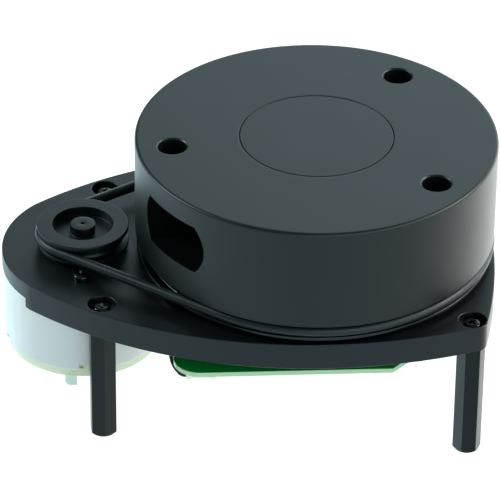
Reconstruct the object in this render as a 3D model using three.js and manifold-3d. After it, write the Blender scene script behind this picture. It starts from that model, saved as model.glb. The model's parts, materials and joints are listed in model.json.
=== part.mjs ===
// Belt-driven lidar scanner module.
//
// A flat plate stands on four hexagon standoffs. A brushed motor hangs under one end and
// drives a round belt. The belt turns a covered turret on a ball bearing at the other end,
// and the turret carries the laser and the receiver, which look out through two windows.
// Millimetres, +Z up. The origin is on the floor under the middle of the module, and +X
// runs from the motor to the turret. Plan places are measured from the turret's axis.

import * as THREE from "three";
import { mergeVertices } from "three/addons/utils/BufferGeometryUtils.js";
import Module from "manifold-3d";

const wasm = await Module();
wasm.setup();

// ---------------------------------------------------------------- driving dimensions

const TURRET_X = 12.95; // the turret's axis, from the middle of the module
const AXLE_DISTANCE = 45.2; // turret axis to motor axis
const MOTOR_X = -AXLE_DISTANCE;
const TURRET_AZIMUTH = -172.2; // where the optics look, in degrees from +X
const RUNNING_GAP = 0.05; // radial clearance of a running fit
const FIT_GAP = 0.15; // clearance round a piece that is fixed in its seat

const PLATE_BOTTOM = 24.2;
const PLATE_TOP = 29.7;
const MOTOR_SEAT = 26.4; // the plate's underside over the motor

const STANDOFF_FLATS = 4.8;
const STANDOFF_CHAMFER = 0.45;
const STANDOFFS = [
  { x: -41.2, y: -20.6, azimuth: -82.4 },
  { x: -41.2, y: 20.6, azimuth: -20 },
  { x: 29.3, y: -26.2, azimuth: -54.3 },
  { x: 29.3, y: 26.2, azimuth: 10 },
];
const SCREW_HEAD_RADIUS = 1.6;
const SCREW_HEAD_HEIGHT = 1.3;
const SHANK_RADIUS = 1;
const THREAD_RADIUS = SHANK_RADIUS + RUNNING_GAP; // a tapped hole, left plain
const SCREW_HOLE_RADIUS = SHANK_RADIUS + FIT_GAP; // a hole that a screw passes through
const COUNTERBORE_RADIUS = 2.7;
const COUNTERBORE_DEPTH = 1.8;

const CAN_RADIUS = 15.65;
const CAN_BOTTOM = 10.7;
const CAN_WALL = 1;
const END_CAP_RADIUS = 15;
const END_CAP_BOTTOM = 8.6;
const MOTOR_BOSS_RADIUS = 4.5;
const MOTOR_BOSS_TOP = 28.4;
const MOTOR_SCREW_RADIUS = 12; // the two fixing screws' distance from the motor axis
const MOTOR_SHAFT_RADIUS = 1;
const SHAFT_BORE = MOTOR_SHAFT_RADIUS + RUNNING_GAP;

const BELT_Z = 32.5;
const BELT_RADIUS = 1;
const TURRET_PITCH = 34.2; // belt centre line on the turret
const PULLEY_PITCH = 8.4; // belt centre line on the motor pulley
const PULLEY_BOTTOM = 30.3;
const PULLEY_TOP = 34.7;
const PULLEY_FLANGE = 8.92;
const PULLEY_RECESS = 5.93;
const PULLEY_RECESS_DEPTH = 1.9;
const PULLEY_HUB = 2.43;

const BEARING_BOTTOM = 25.2;
const BEARING_WIDTH = 4;
const BEARING_TOP = BEARING_BOTTOM + BEARING_WIDTH;
const BEARING_BORE = 10;
const BEARING_OUTER = 13.5;
const BALL_CIRCLE = 11.75;
const BALL_RADIUS = 0.8;
const BALL_COUNT = 8;

const DECK_UNDERSIDE = 31;
const DECK_FLOOR = 33.6;
const DECK_RADIUS = 34.7;
const COVER_RADIUS = 35;
const COVER_WALL = 2;
const COVER_BOTTOM = 34.1;
const COVER_TOP = 54.7;
const COVER_EDGE = 1.2; // rounding of the cover's top edge
const COVER_SCREW_RADIUS = 28;
const COVER_SCREW_AZIMUTHS = [0, 134.3, -134.3]; // from the direction the optics look
const WELL_RADIUS = 2.8;
const WELL_FLOOR = 45;
const DISC_RADIUS = 14.8;
const DISC_THICKNESS = 0.6;

const WINDOW_Y = 16.15; // the two windows' distance from the turret's middle plane
const WINDOW_Z = 45.3;
const RECEIVER_WINDOW = { width: 16, height: 10, corner: 2.6 };
const LASER_WINDOW = { width: 10, height: 10, corner: 4 };

const BOARD_TOP = 21;
const BOARD_THICKNESS = 1;
const BOARD_TURN = 2.1; // the main board sits a little askew, in degrees

// ---------------------------------------------------------------- solids

// A welded copy of a geometry, with faces pointing out and only its positions kept.
function welded(geometry) {
  const bare = new THREE.BufferGeometry();
  bare.setAttribute("position", geometry.getAttribute("position"));
  bare.setIndex(geometry.index);
  const merged = mergeVertices(bare, 1e-4);
  const corners = [];
  for (let i = 0; i < merged.index.count; i += 3) {
    const [a, b, c] = [0, 1, 2].map((k) => merged.index.getX(i + k));
    if (a !== b && b !== c && c !== a) corners.push(a, b, c);
  }
  merged.setIndex(corners);
  return merged;
}

function toSolid(geometry) {
  const closed = welded(geometry);
  const vertProperties = new Float32Array(closed.attributes.position.array);
  const triVerts = new Uint32Array(closed.index.array);
  const solid = new wasm.Manifold(new wasm.Mesh({ numProp: 3, vertProperties, triVerts }));
  if (solid.volume() > 0) return solid;
  const reversed = triVerts.reverse();
  return new wasm.Manifold(new wasm.Mesh({ numProp: 3, vertProperties, triVerts: reversed }));
}

function toGeometry(solid) {
  const { vertProperties, triVerts } = solid.getMesh();
  const geometry = new THREE.BufferGeometry();
  geometry.setAttribute("position", new THREE.BufferAttribute(vertProperties, 3));
  geometry.setIndex(new THREE.BufferAttribute(triVerts, 1));
  return geometry;
}

const join = (first, ...others) =>
  toGeometry(others.reduce((solid, other) => solid.add(toSolid(other)), toSolid(first)));

const cut = (first, ...tools) =>
  toGeometry(tools.reduce((solid, tool) => solid.subtract(toSolid(tool)), toSolid(first)));

// A solid of revolution about Z. The profile lists [radius, height] pairs.
function turned(profile, segments = 48) {
  const points = profile.map(([radius, height]) => new THREE.Vector2(radius, height));
  return new THREE.LatheGeometry(points, segments).rotateX(Math.PI / 2);
}

// A turned ring: its profile is closed on itself.
const turnedRing = (profile, segments) => turned([...profile, profile[0]], segments);

const cylinder = (radius, bottom, top, segments = 32) =>
  turned([[0, bottom], [radius, bottom], [radius, top], [0, top]], segments);

const tubeWall = (inner, outer, bottom, top, segments = 32) =>
  turnedRing([[inner, bottom], [outer, bottom], [outer, top], [inner, top]], segments);

// A box given by its lowest and highest corners.
function block(low, high) {
  const size = high.map((value, axis) => value - low[axis]);
  const middle = high.map((value, axis) => (value + low[axis]) / 2);
  return new THREE.BoxGeometry(...size).translate(...middle);
}

// A cylinder lying along X.
const barAlongX = (radius, from, to, y, z, segments = 32) =>
  cylinder(radius, from, to, segments).rotateY(Math.PI / 2).translate(0, y, z);

const extruded = (shape, bottom, top, curveSegments = 6) =>
  new THREE.ExtrudeGeometry(shape, { depth: top - bottom, bevelEnabled: false, curveSegments })
    .translate(0, 0, bottom);

// A round wire along a smooth curve through the given points.
function wire(points, radius, steps) {
  const path = new THREE.CatmullRomCurve3(points.map((p) => new THREE.Vector3(...p)));
  const section = new THREE.Shape().absarc(0, 0, radius, 0, 2 * Math.PI);
  return new THREE.ExtrudeGeometry(section, {
    extrudePath: path,
    steps,
    curveSegments: 3,
    bevelEnabled: false,
  });
}

function roundedRectangle(width, height, corner) {
  const [x, y] = [width / 2, height / 2];
  return new THREE.Shape()
    .moveTo(-x + corner, -y)
    .absarc(x - corner, -y + corner, corner, -Math.PI / 2, 0)
    .absarc(x - corner, y - corner, corner, 0, Math.PI / 2)
    .absarc(-x + corner, y - corner, corner, Math.PI / 2, Math.PI)
    .absarc(-x + corner, -y + corner, corner, Math.PI, 1.5 * Math.PI);
}

const radians = THREE.MathUtils.degToRad;

// The point at a distance and an azimuth, in degrees, from the axis.
const polar = (radius, azimuth) => [
  radius * Math.cos(radians(azimuth)),
  radius * Math.sin(radians(azimuth)),
];

// ---------------------------------------------------------------- scene graph

const FINISHES = {
  black_plastic: { color: 0x2c3538, roughness: 0.5, metalness: 0 },
  black_metal: { color: 0x2a3032, roughness: 0.4, metalness: 0.5 },
  dark_steel: { color: 0x33383b, roughness: 0.3, metalness: 0.9 },
  rubber: { color: 0x1d2224, roughness: 0.6, metalness: 0 },
  zinc_steel: { color: 0xdfe6e7, roughness: 0.4, metalness: 0.7 },
  bearing_steel: { color: 0xb9bec2, roughness: 0.2, metalness: 1 },
  cream_plastic: { color: 0xd2dcc4, roughness: 0.55, metalness: 0 },
  white_plastic: { color: 0xe9e7df, roughness: 0.5, metalness: 0 },
  green_board: { color: 0x0f6b34, roughness: 0.45, metalness: 0 },
  black_board: { color: 0x141816, roughness: 0.5, metalness: 0 },
  chip: { color: 0x17191b, roughness: 0.5, metalness: 0 },
  tinned: { color: 0xc9cbc6, roughness: 0.35, metalness: 0.9 },
  brass: { color: 0xc9a24a, roughness: 0.3, metalness: 1 },
  copper: { color: 0xb4653a, roughness: 0.35, metalness: 1 },
  ferrite: { color: 0x3a3a3d, roughness: 0.7, metalness: 0.1 },
  glass: { color: 0x9fb4bd, roughness: 0.05, metalness: 0, transparent: true, opacity: 0.5 },
  red_wire: { color: 0xa3221d, roughness: 0.5, metalness: 0 },
};

const scannerModule = new THREE.Group();

function groupAt(x, turn, parent) {
  const group = new THREE.Group();
  group.position.x = x;
  group.rotation.z = radians(turn);
  parent.add(group);
  return group;
}

const chassis = groupAt(TURRET_X, 0, scannerModule);
const turret = groupAt(0, TURRET_AZIMUTH, chassis);
const board = groupAt(0, BOARD_TURN, chassis);
const motor = groupAt(MOTOR_X, 0, chassis);

function add(group, name, finish, geometry) {
  const flat = toGeometry(toSolid(geometry)).toNonIndexed();
  flat.computeVertexNormals();
  const mesh = new THREE.Mesh(flat, new THREE.MeshStandardMaterial(FINISHES[finish]));
  mesh.name = name;
  group.add(mesh);
}

// ---------------------------------------------------------------- base plate

const NOSE_ARC = { x: -39.56, y: 0, r: 21.5 };
const MOTOR_SIDE_ARC = { x: -2, y: 46.33, r: 81 };
const TURRET_SIDE_ARC = { x: -2, y: 60.33, r: 95 };
const END_ARC = { x: -92.9, y: 0, r: 128 };
const CORNER_RADIUS = 2.6;

// Where two circles meet, on the side of the line of centres that `side` says.
function circlesMeet(a, b, side) {
  const [dx, dy] = [b.x - a.x, b.y - a.y];
  const distance = Math.hypot(dx, dy);
  const along = (a.r ** 2 - b.r ** 2 + distance ** 2) / (2 * distance);
  const off = side * Math.sqrt(a.r ** 2 - along ** 2);
  const [ux, uy] = [dx / distance, dy / distance];
  return { x: a.x + ux * along - uy * off, y: a.y + uy * along + ux * off };
}

const angleFrom = (centre, point) => Math.atan2(point.y - centre.y, point.x - centre.x);

// The plate's outline is symmetric about the line through both axes: a blunt nose round
// the motor, two long sides that swell past the turret, and a nearly straight far end.
function plateOutline() {
  const corner = circlesMeet(NOSE_ARC, MOTOR_SIDE_ARC, 1);
  const inner = { ...TURRET_SIDE_ARC, r: TURRET_SIDE_ARC.r - CORNER_RADIUS };
  const fillet = circlesMeet(inner, { ...END_ARC, r: END_ARC.r - CORNER_RADIUS }, 1);
  const nose = angleFrom(NOSE_ARC, corner) + 2 * Math.PI;
  const side = angleFrom(MOTOR_SIDE_ARC, corner) + 2 * Math.PI;
  const down = 1.5 * Math.PI;
  const filletStart = angleFrom(TURRET_SIDE_ARC, fillet) + 2 * Math.PI;
  const filletEnd = angleFrom(END_ARC, fillet) + 2 * Math.PI;
  const lower = [
    [NOSE_ARC, Math.PI, nose],
    [MOTOR_SIDE_ARC, side, down],
    [TURRET_SIDE_ARC, down, filletStart],
    [{ ...fillet, r: CORNER_RADIUS }, filletStart, filletEnd],
    [END_ARC, filletEnd, 2 * Math.PI],
  ];
  const upper = lower.toReversed().map(([arc, from, to]) => [{ ...arc, y: -arc.y }, -to, -from]);
  const shape = new THREE.Shape();
  for (const [arc, from, to] of [...lower, ...upper]) shape.absarc(arc.x, arc.y, arc.r, from, to);
  return shape;
}

const NOSE_STEP_X = -56.1; // left of here the plate is only as deep as the motor seat
const MOTOR_POCKET_RADIUS = 16;
const CHANNEL = { inner: 21.5, outer: 31.5, floor: 26.5 };
const BOARD_BOSSES = [
  { x: -20, y: -22 },
  { x: -20, y: 22 },
  { x: 14.5, y: 14 },
];
const BOARD_BOSS_RADIUS = 2.6;
const SEAT_LIP_RADIUS = 12;

function basePlate() {
  const bossHole = MOTOR_BOSS_RADIUS + 2 * FIT_GAP;
  const tools = [
    cylinder(MOTOR_POCKET_RADIUS, PLATE_BOTTOM - 1, MOTOR_SEAT, 36).translate(MOTOR_X, 0, 0),
    block([-70, -25, PLATE_BOTTOM - 1], [NOSE_STEP_X, 25, MOTOR_SEAT]),
    cylinder(bossHole, PLATE_BOTTOM, PLATE_TOP + 1, 20).translate(MOTOR_X, 0, 0),
    cylinder(BEARING_OUTER + FIT_GAP, BEARING_BOTTOM, PLATE_TOP + 1, 28),
    cylinder(SEAT_LIP_RADIUS, PLATE_BOTTOM - 1, PLATE_TOP, 28),
    tubeWall(CHANNEL.inner, CHANNEL.outer, CHANNEL.floor, PLATE_TOP + 1, 32),
  ];
  for (const { x, y } of STANDOFFS) {
    const seat = PLATE_TOP - COUNTERBORE_DEPTH;
    tools.push(cylinder(COUNTERBORE_RADIUS, seat, PLATE_TOP + 1, 16).translate(x, y, 0));
    tools.push(cylinder(SCREW_HOLE_RADIUS, PLATE_BOTTOM - 1, PLATE_TOP, 8).translate(x, y, 0));
  }
  for (const side of [-1, 1]) {
    const hole = cylinder(SCREW_HOLE_RADIUS, PLATE_BOTTOM, PLATE_TOP + 1, 8);
    tools.push(hole.translate(MOTOR_X, side * MOTOR_SCREW_RADIUS, 0));
  }
  const bosses = BOARD_BOSSES.map(({ x, y }) =>
    cylinder(BOARD_BOSS_RADIUS, BOARD_TOP, PLATE_BOTTOM + 1, 12).translate(x, y, 0));
  for (const { x, y } of BOARD_BOSSES) {
    const thread = cylinder(BOARD_SCREW_SHANK + RUNNING_GAP, BOARD_TOP - 1, PLATE_BOTTOM, 12);
    tools.push(thread.translate(x, y, 0));
  }
  const body = extruded(plateOutline(), PLATE_BOTTOM, PLATE_TOP, 3);
  return cut(join(body, ...bosses), ...tools);
}

// ---------------------------------------------------------------- fasteners

const RECESS_WIDTH = 0.5;
const RECESS_LENGTH = 2;
const RECESS_DEPTH = 0.7;

// A pan-head screw with a cross recess, its head's underside at `seat` and its tip at `tip`.
function panScrew(seat, tip, shank = SHANK_RADIUS, head = SCREW_HEAD_RADIUS) {
  const top = seat + SCREW_HEAD_HEIGHT;
  const body = turned([
    [0, tip],
    [shank, tip],
    [shank, seat],
    [head, seat],
    [head, top - 0.5],
    [head - 0.5, top],
    [0, top],
  ], 10);
  const slot = (x, y) => block([-x, -y, top - RECESS_DEPTH], [x, y, top + 1]);
  return cut(
    body,
    slot(RECESS_LENGTH / 2, RECESS_WIDTH / 2),
    slot(RECESS_WIDTH / 2, RECESS_LENGTH / 2),
  );
}

const STANDOFF_SCREW_TIP = 18.5;
const STANDOFF_HOLE_DEPTH = 7;

// A hexagon standoff: threaded blind holes in both ends and chamfered end corners.
function standoff(azimuth) {
  const corner = STANDOFF_FLATS / Math.sqrt(3);
  const chamfered = corner - STANDOFF_CHAMFER;
  const hexagon = turned([
    [0, 0],
    [chamfered, 0],
    [corner, STANDOFF_CHAMFER],
    [corner, PLATE_BOTTOM],
    [0, PLATE_BOTTOM],
  ], 6);
  const foot = cylinder(THREAD_RADIUS, -1, STANDOFF_HOLE_DEPTH, 12);
  const head = cylinder(THREAD_RADIUS, PLATE_BOTTOM - STANDOFF_HOLE_DEPTH, PLATE_BOTTOM + 1, 12);
  const turn = radians(azimuth) - Math.PI / 2;
  return cut(hexagon.rotateZ(turn), foot, head);
}

STANDOFFS.forEach(({ x, y, azimuth }, i) => {
  const screw = panScrew(PLATE_TOP - COUNTERBORE_DEPTH, STANDOFF_SCREW_TIP).rotateZ(i + 0.4);
  add(chassis, `standoff_${i + 1}`, "black_metal", standoff(azimuth).translate(x, y, 0));
  add(chassis, `standoff_screw_${i + 1}`, "dark_steel", screw.translate(x, y, 0));
});

// ---------------------------------------------------------------- motor

const CAN_INNER = CAN_RADIUS - CAN_WALL;
const CAN_TOP_THICKNESS = 1.2;
const CAN_NOTCH = { width: 2.6, height: 1.2, count: 5, azimuth: -87.8 };
const BUSH_RADIUS = 2.6;
const MAGNET_INNER = 11.8;
const MAGNET_TOP = 24.6;
const ARMATURE = { radius: 10.8, bottom: 15, top: 22 };
const COIL = { inner: 4.4, outer: 9.6, height: 1.5, gap: 0.3, bar: 2.1 };
const SLOT = { count: 5, circle: 7.4, radius: 2.4, mouth: 1.2 };

// A drawn can: its open lower edge is notched to key the end cap.
function motorCan() {
  const ceiling = MOTOR_SEAT - CAN_TOP_THICKNESS;
  const shell = turnedRing([
    [BUSH_RADIUS + RUNNING_GAP, ceiling],
    [CAN_INNER, ceiling],
    [CAN_INNER, CAN_BOTTOM],
    [CAN_RADIUS - 0.35, CAN_BOTTOM],
    [CAN_RADIUS, CAN_BOTTOM + 0.35],
    [CAN_RADIUS, MOTOR_SEAT - 0.8],
    [CAN_RADIUS - 0.8, MOTOR_SEAT],
    [MOTOR_BOSS_RADIUS, MOTOR_SEAT],
    [MOTOR_BOSS_RADIUS, MOTOR_BOSS_TOP],
    [BUSH_RADIUS + RUNNING_GAP, MOTOR_BOSS_TOP],
  ], 32);
  const notches = ringOf(CAN_NOTCH.count, () =>
    block(
      [CAN_INNER - 1, -CAN_NOTCH.width / 2, CAN_BOTTOM - 1],
      [CAN_RADIUS + 1, CAN_NOTCH.width / 2, CAN_BOTTOM + CAN_NOTCH.height],
    ).rotateZ(radians(CAN_NOTCH.azimuth)));
  const holes = [-1, 1].map((side) =>
    cylinder(SCREW_HOLE_RADIUS, ceiling - 1, MOTOR_SEAT + 1, 8)
      .translate(0, side * MOTOR_SCREW_RADIUS, 0));
  return cut(shell, ...notches, ...holes);
}

const CAP_RING_TOP = 12.2; // the end cap's ring inside the can
const CAP_RING_RADIUS = CAN_INNER - 0.1;
const CAP_KEY = { left: 0.2, right: 1.75, outer: CAN_RADIUS - 0.35, inner: CAN_INNER - 0.5 };
const SHAFT_BOTTOM = 9.2;
const TERMINAL_TURNS = [0, Math.PI]; // one tab on each side of the motor
const TERMINAL = { left: -3.55, right: -1.2, y: -14, thickness: 0.6, bottom: 6.2, top: 10.2 };

function motorEndCap() {
  const cap = turned([
    [0, END_CAP_BOTTOM],
    [END_CAP_RADIUS - 0.3, END_CAP_BOTTOM],
    [END_CAP_RADIUS, END_CAP_BOTTOM + 0.3],
    [END_CAP_RADIUS, CAN_BOTTOM],
    [CAP_RING_RADIUS, CAN_BOTTOM],
    [CAP_RING_RADIUS, CAP_RING_TOP],
    [MAGNET_INNER, CAP_RING_TOP],
    [MAGNET_INNER, CAN_BOTTOM],
    [0, CAN_BOTTOM],
  ], 32);
  const key = block(
    [CAP_KEY.left, -CAP_KEY.outer, CAN_BOTTOM - 0.6],
    [CAP_KEY.right, -CAP_KEY.inner, CAN_BOTTOM + CAN_NOTCH.height - 0.2],
  );
  const slots = TERMINAL_TURNS.map((turn) => terminalTab(RUNNING_GAP).rotateZ(turn));
  const bearing = cylinder(SHAFT_BORE, SHAFT_BOTTOM - 0.1, CAN_BOTTOM + 1, 16);
  return cut(join(cap, key), bearing, ...slots);
}

// A terminal tab; `spare` widens it on every side to cut its slot.
function terminalTab(spare) {
  const { left, right, y, thickness, bottom, top } = TERMINAL;
  return block(
    [left - spare, y - thickness / 2 - spare, bottom],
    [right + spare, y + thickness / 2 + spare, top + spare],
  );
}

// The fixed magnet is one ring, magnetised in two halves.
const magnetRing = () =>
  tubeWall(MAGNET_INNER, CAN_INNER - FIT_GAP, CAP_RING_TOP + 0.3, MAGNET_TOP, 24);

const motorBush = () => tubeWall(SHAFT_BORE, BUSH_RADIUS, MAGNET_TOP, MOTOR_BOSS_TOP, 16);

// A circle of `count` copies, each made by `make` and turned to its own place.
const ringOf = (count, make) =>
  Array.from({ length: count }, (_, i) => make(i).rotateZ((2 * Math.PI * i) / count));

function armature() {
  const { radius, bottom, top } = ARMATURE;
  const core = tubeWall(SHAFT_BORE, radius, bottom, top, 25);
  const mouth = SLOT.mouth / 2;
  const slots = ringOf(SLOT.count, () =>
    join(
      cylinder(SLOT.radius, bottom - 1, top + 1, 8).translate(SLOT.circle, 0, 0),
      block([SLOT.circle, -mouth, bottom - 1], [radius + 1, mouth, top + 1]),
    ));
  return cut(core, ...slots);
}

// The winding: a ring of wire over each end of the core, and a bar through each slot.
function winding() {
  const { inner, outer, height, gap, bar } = COIL;
  const low = ARMATURE.bottom - gap;
  const high = ARMATURE.top + gap;
  const bars = ringOf(SLOT.count, () =>
    cylinder(bar, low - 1, high + 1, 6).translate(SLOT.circle, 0, 0));
  return join(
    tubeWall(inner, outer, low - height, low, 15),
    tubeWall(inner, outer, high, high + height, 15),
    ...bars,
  );
}

// Moulded motor pulley: two flanges with a round groove between, and a hub in a recess.
function motorPulley() {
  const groove = PULLEY_PITCH - BELT_RADIUS - 0.2;
  const recessFloor = PULLEY_TOP - PULLEY_RECESS_DEPTH;
  return turnedRing([
    [SHAFT_BORE, PULLEY_BOTTOM],
    [PULLEY_HUB + 1.2, PULLEY_BOTTOM],
    [PULLEY_HUB + 1.2, PULLEY_BOTTOM + 0.3],
    [PULLEY_FLANGE, PULLEY_BOTTOM + 0.3],
    [PULLEY_FLANGE, 31.3],
    [groove, 31.5],
    [groove, 33.5],
    [PULLEY_FLANGE, 33.7],
    [PULLEY_FLANGE, PULLEY_TOP],
    [PULLEY_RECESS, PULLEY_TOP],
    [PULLEY_RECESS, recessFloor],
    [PULLEY_HUB, recessFloor],
    [PULLEY_HUB, PULLEY_TOP],
    [0.38, PULLEY_TOP],
    [0.38, PULLEY_TOP - 0.8],
    [SHAFT_BORE, PULLEY_TOP - 0.8],
  ], 28);
}

function addMotor() {
  add(motor, "motor_can", "zinc_steel", motorCan());
  add(motor, "motor_end_cap", "cream_plastic", motorEndCap());
  TERMINAL_TURNS.forEach((turn, i) =>
    add(motor, `motor_terminal_${i + 1}`, "tinned", terminalTab(0).rotateZ(turn)));
  add(motor, "motor_magnet", "ferrite", magnetRing());
  add(motor, "motor_bush", "brass", motorBush());
  [-1, 1].forEach((side, i) => {
    const screw = panScrew(PLATE_TOP, MOTOR_SEAT - CAN_TOP_THICKNESS).rotateZ(0.5);
    add(motor, `motor_screw_${i + 1}`, "dark_steel",
      screw.translate(0, side * MOTOR_SCREW_RADIUS, 0));
  });
  add(motor, "motor_shaft", "bearing_steel",
    cylinder(MOTOR_SHAFT_RADIUS, SHAFT_BOTTOM, PULLEY_TOP - 0.9, 16));
  add(motor, "motor_armature", "ferrite", armature());
  add(motor, "motor_winding", "copper", winding());
  add(motor, "motor_commutator", "copper",
    tubeWall(SHAFT_BORE, 2.8, CAN_BOTTOM + 0.3, 12.9, 16));
  add(motor, "motor_pulley", "black_plastic", motorPulley());
}

// ---------------------------------------------------------------- belt

// The belt's centre line in plan, moved out by `offset`: two arcs and their outer tangents.
function beltLoop(offset) {
  const lead = Math.acos((TURRET_PITCH - PULLEY_PITCH) / AXLE_DISTANCE);
  const loop = new THREE.Shape();
  loop.absarc(0, 0, TURRET_PITCH + offset, lead - Math.PI, Math.PI - lead);
  loop.absarc(MOTOR_X, 0, PULLEY_PITCH + offset, Math.PI - lead, Math.PI + lead);
  return loop;
}

// The round section comes from a thin loop that is bevelled to the belt's radius.
function driveBelt() {
  const core = 0.1;
  const loop = beltLoop(core);
  loop.holes.push(beltLoop(-core));
  const bevel = BELT_RADIUS - core;
  const geometry = new THREE.ExtrudeGeometry(loop, {
    depth: 2 * core,
    curveSegments: 12,
    bevelThickness: bevel,
    bevelSize: bevel,
    bevelSegments: 2,
  });
  return geometry.translate(0, 0, BELT_Z - core);
}

// ---------------------------------------------------------------- bearing

// Half of a ball groove's section, from one face of a ring to the other.
function raceway(radius, outward) {
  const groove = BALL_RADIUS + 0.13;
  const middle = (BEARING_BOTTOM + BEARING_TOP) / 2;
  const reach = Math.abs(radius - BALL_CIRCLE);
  const half = Math.acos(reach / groove);
  const points = [];
  for (let i = 0; i <= 2; i += 1) {
    const angle = -half + half * i;
    const across = outward * groove * Math.cos(angle);
    points.push([BALL_CIRCLE + across, middle + groove * Math.sin(angle)]);
  }
  return points;
}

const INNER_RACE = 11.2;
const OUTER_RACE = 12.3;

const bearingInnerRing = () =>
  turnedRing([
    [BEARING_BORE, BEARING_BOTTOM],
    [INNER_RACE, BEARING_BOTTOM],
    ...raceway(INNER_RACE, -1),
    [INNER_RACE, BEARING_TOP],
    [BEARING_BORE, BEARING_TOP],
  ], 24);

const bearingOuterRing = () =>
  turnedRing([
    [BEARING_OUTER, BEARING_BOTTOM],
    [BEARING_OUTER, BEARING_TOP],
    [OUTER_RACE, BEARING_TOP],
    ...raceway(OUTER_RACE, 1).toReversed(),
    [OUTER_RACE, BEARING_BOTTOM],
  ], 24);

// The cage and the balls that it carries turn as one piece.
function bearingCage() {
  const middle = (BEARING_BOTTOM + BEARING_TOP) / 2;
  const ring = tubeWall(BALL_CIRCLE - 0.3, BALL_CIRCLE + 0.3, middle - 0.5, middle + 1.1, 16);
  const balls = ringOf(BALL_COUNT, () =>
    new THREE.SphereGeometry(BALL_RADIUS, 6, 5).translate(BALL_CIRCLE, 0, middle));
  return join(ring, ...balls);
}

// ---------------------------------------------------------------- main board

const BOARD = { left: -28.5, right: 21.2, front: -30.45, corner: 5, chamfer: 8 };
const BOARD_BORE = 7;
const BOARD_SCREW_SHANK = 0.75;
const BOARD_BOTTOM = BOARD_TOP - BOARD_THICKNESS;

function boardOutline() {
  const { left, right, front, corner, chamfer } = BOARD;
  const cornerX = left + corner;
  const cornerY = front + corner;
  return new THREE.Shape()
    .moveTo(left, -cornerY)
    .absarc(cornerX, cornerY, corner, Math.PI, 1.5 * Math.PI)
    .lineTo(right - chamfer, front)
    .lineTo(right, front + chamfer)
    .lineTo(right, -front - chamfer)
    .lineTo(right - chamfer, -front)
    .absarc(cornerX, -cornerY, corner, Math.PI / 2, Math.PI);
}

function mainBoard() {
  const blank = extruded(boardOutline(), BOARD_BOTTOM, BOARD_TOP, 4);
  const bore = cylinder(BOARD_BORE, BOARD_BOTTOM - 1, BOARD_TOP + 1, 18);
  const turn = radians(-BOARD_TURN);
  const holes = BOARD_BOSSES.map(({ x, y }) =>
    cylinder(BOARD_SCREW_SHANK + 0.2, BOARD_BOTTOM - 1, BOARD_TOP + 1, 8)
      .translate(x, y, 0)
      .rotateZ(turn));
  return cut(blank, bore, ...holes);
}

const HEADER = { x: 17.6, y: -7, width: 5.8, length: 20, bottom: 13, floor: 17, wall: 0.8 };
const PIN = { count: 7, pitch: 2.54, width: 0.64 };
const COMB = { low: BOARD_BOTTOM - 0.7, high: BOARD_BOTTOM - 0.1, width: 0.6, end: 1.7 };

// An upright block in the middle of the header, of the given width and length.
const headerBlock = (width, length, low, high) =>
  block(
    [HEADER.x - width / 2, HEADER.y - length / 2, low],
    [HEADER.x + width / 2, HEADER.y + length / 2, high],
  );

// One block for each pin, of the given width.
const pinBlocks = (width, low, high) =>
  Array.from({ length: PIN.count }, (_, i) =>
    headerBlock(width, width, low, high).translate(0, (i - (PIN.count - 1) / 2) * PIN.pitch, 0));

// A shrouded header: its socket opens downwards and has a polarising slot in one side.
function boardHeader() {
  const { x, y, width, length, bottom, floor, wall } = HEADER;
  const side = x + width / 2;
  const slot = block([side - 1.5, y - 2, bottom - 1], [side + 1, y + 2, floor - 1]);
  return cut(
    headerBlock(width, length, bottom, BOARD_BOTTOM),
    headerBlock(width - 2 * wall, length - 2 * wall, bottom - 1, floor),
    headerBlock(COMB.width + 0.2, length - 2 * COMB.end + 0.2, COMB.low - 0.1, BOARD_BOTTOM + 1),
    slot,
    ...pinBlocks(PIN.width + FIT_GAP, floor - 1, BOARD_BOTTOM),
  );
}

// The pins are one stamped comb, joined by a bar at the foot of the header.
const headerPins = () =>
  join(
    headerBlock(COMB.width, HEADER.length - 2 * COMB.end, COMB.low, COMB.high),
    ...pinBlocks(PIN.width, HEADER.bottom + 0.8, BOARD_BOTTOM - 0.2),
  );

const SOCKET = { low: [-25.15, -28.6, 17.6], high: [-19.2, -24.5, BOARD_BOTTOM] };
const LEAD_RADIUS = 0.4;
const LEAD_END_X = SOCKET.low[0] - 0.1;

// Each lead leaves its terminal at the motor's side, and runs under the board to the socket.
const BLACK_LEAD = [
  [-29.8, -2.8, 9.6],
  [-28.7, -3.5, 10],
  [-28, -6, 12.4],
  [-28.2, -10, 15.6],
  [-28.7, -14, 17.7],
  [-28.6, -18, 18.6],
  [-28.2, -21.2, 18.9],
  [-27.92, -23.1, 18.8],
  [-27.73, -24.4, 18.75],
  [-27.25, -25.95, 18.65],
  [-26.5, -27.3, 18.45],
  [-25.8, -27.9, 18.25],
  [LEAD_END_X, -28, 18.15],
];
const RED_LEAD = [
  [-29.7, 1.4, 9.6],
  [-28.5, 0.8, 10.2],
  [-27.4, -3, 13.2],
  [-27, -8, 16],
  [-27.2, -13, 17.6],
  [-27.3, -18, 18.2],
  [-27.2, -22, 18.3],
  [-26.9, -24.6, 18.25],
  [-26.1, -25.9, 18.2],
  [LEAD_END_X, -26.2, 18.15],
];

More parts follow.
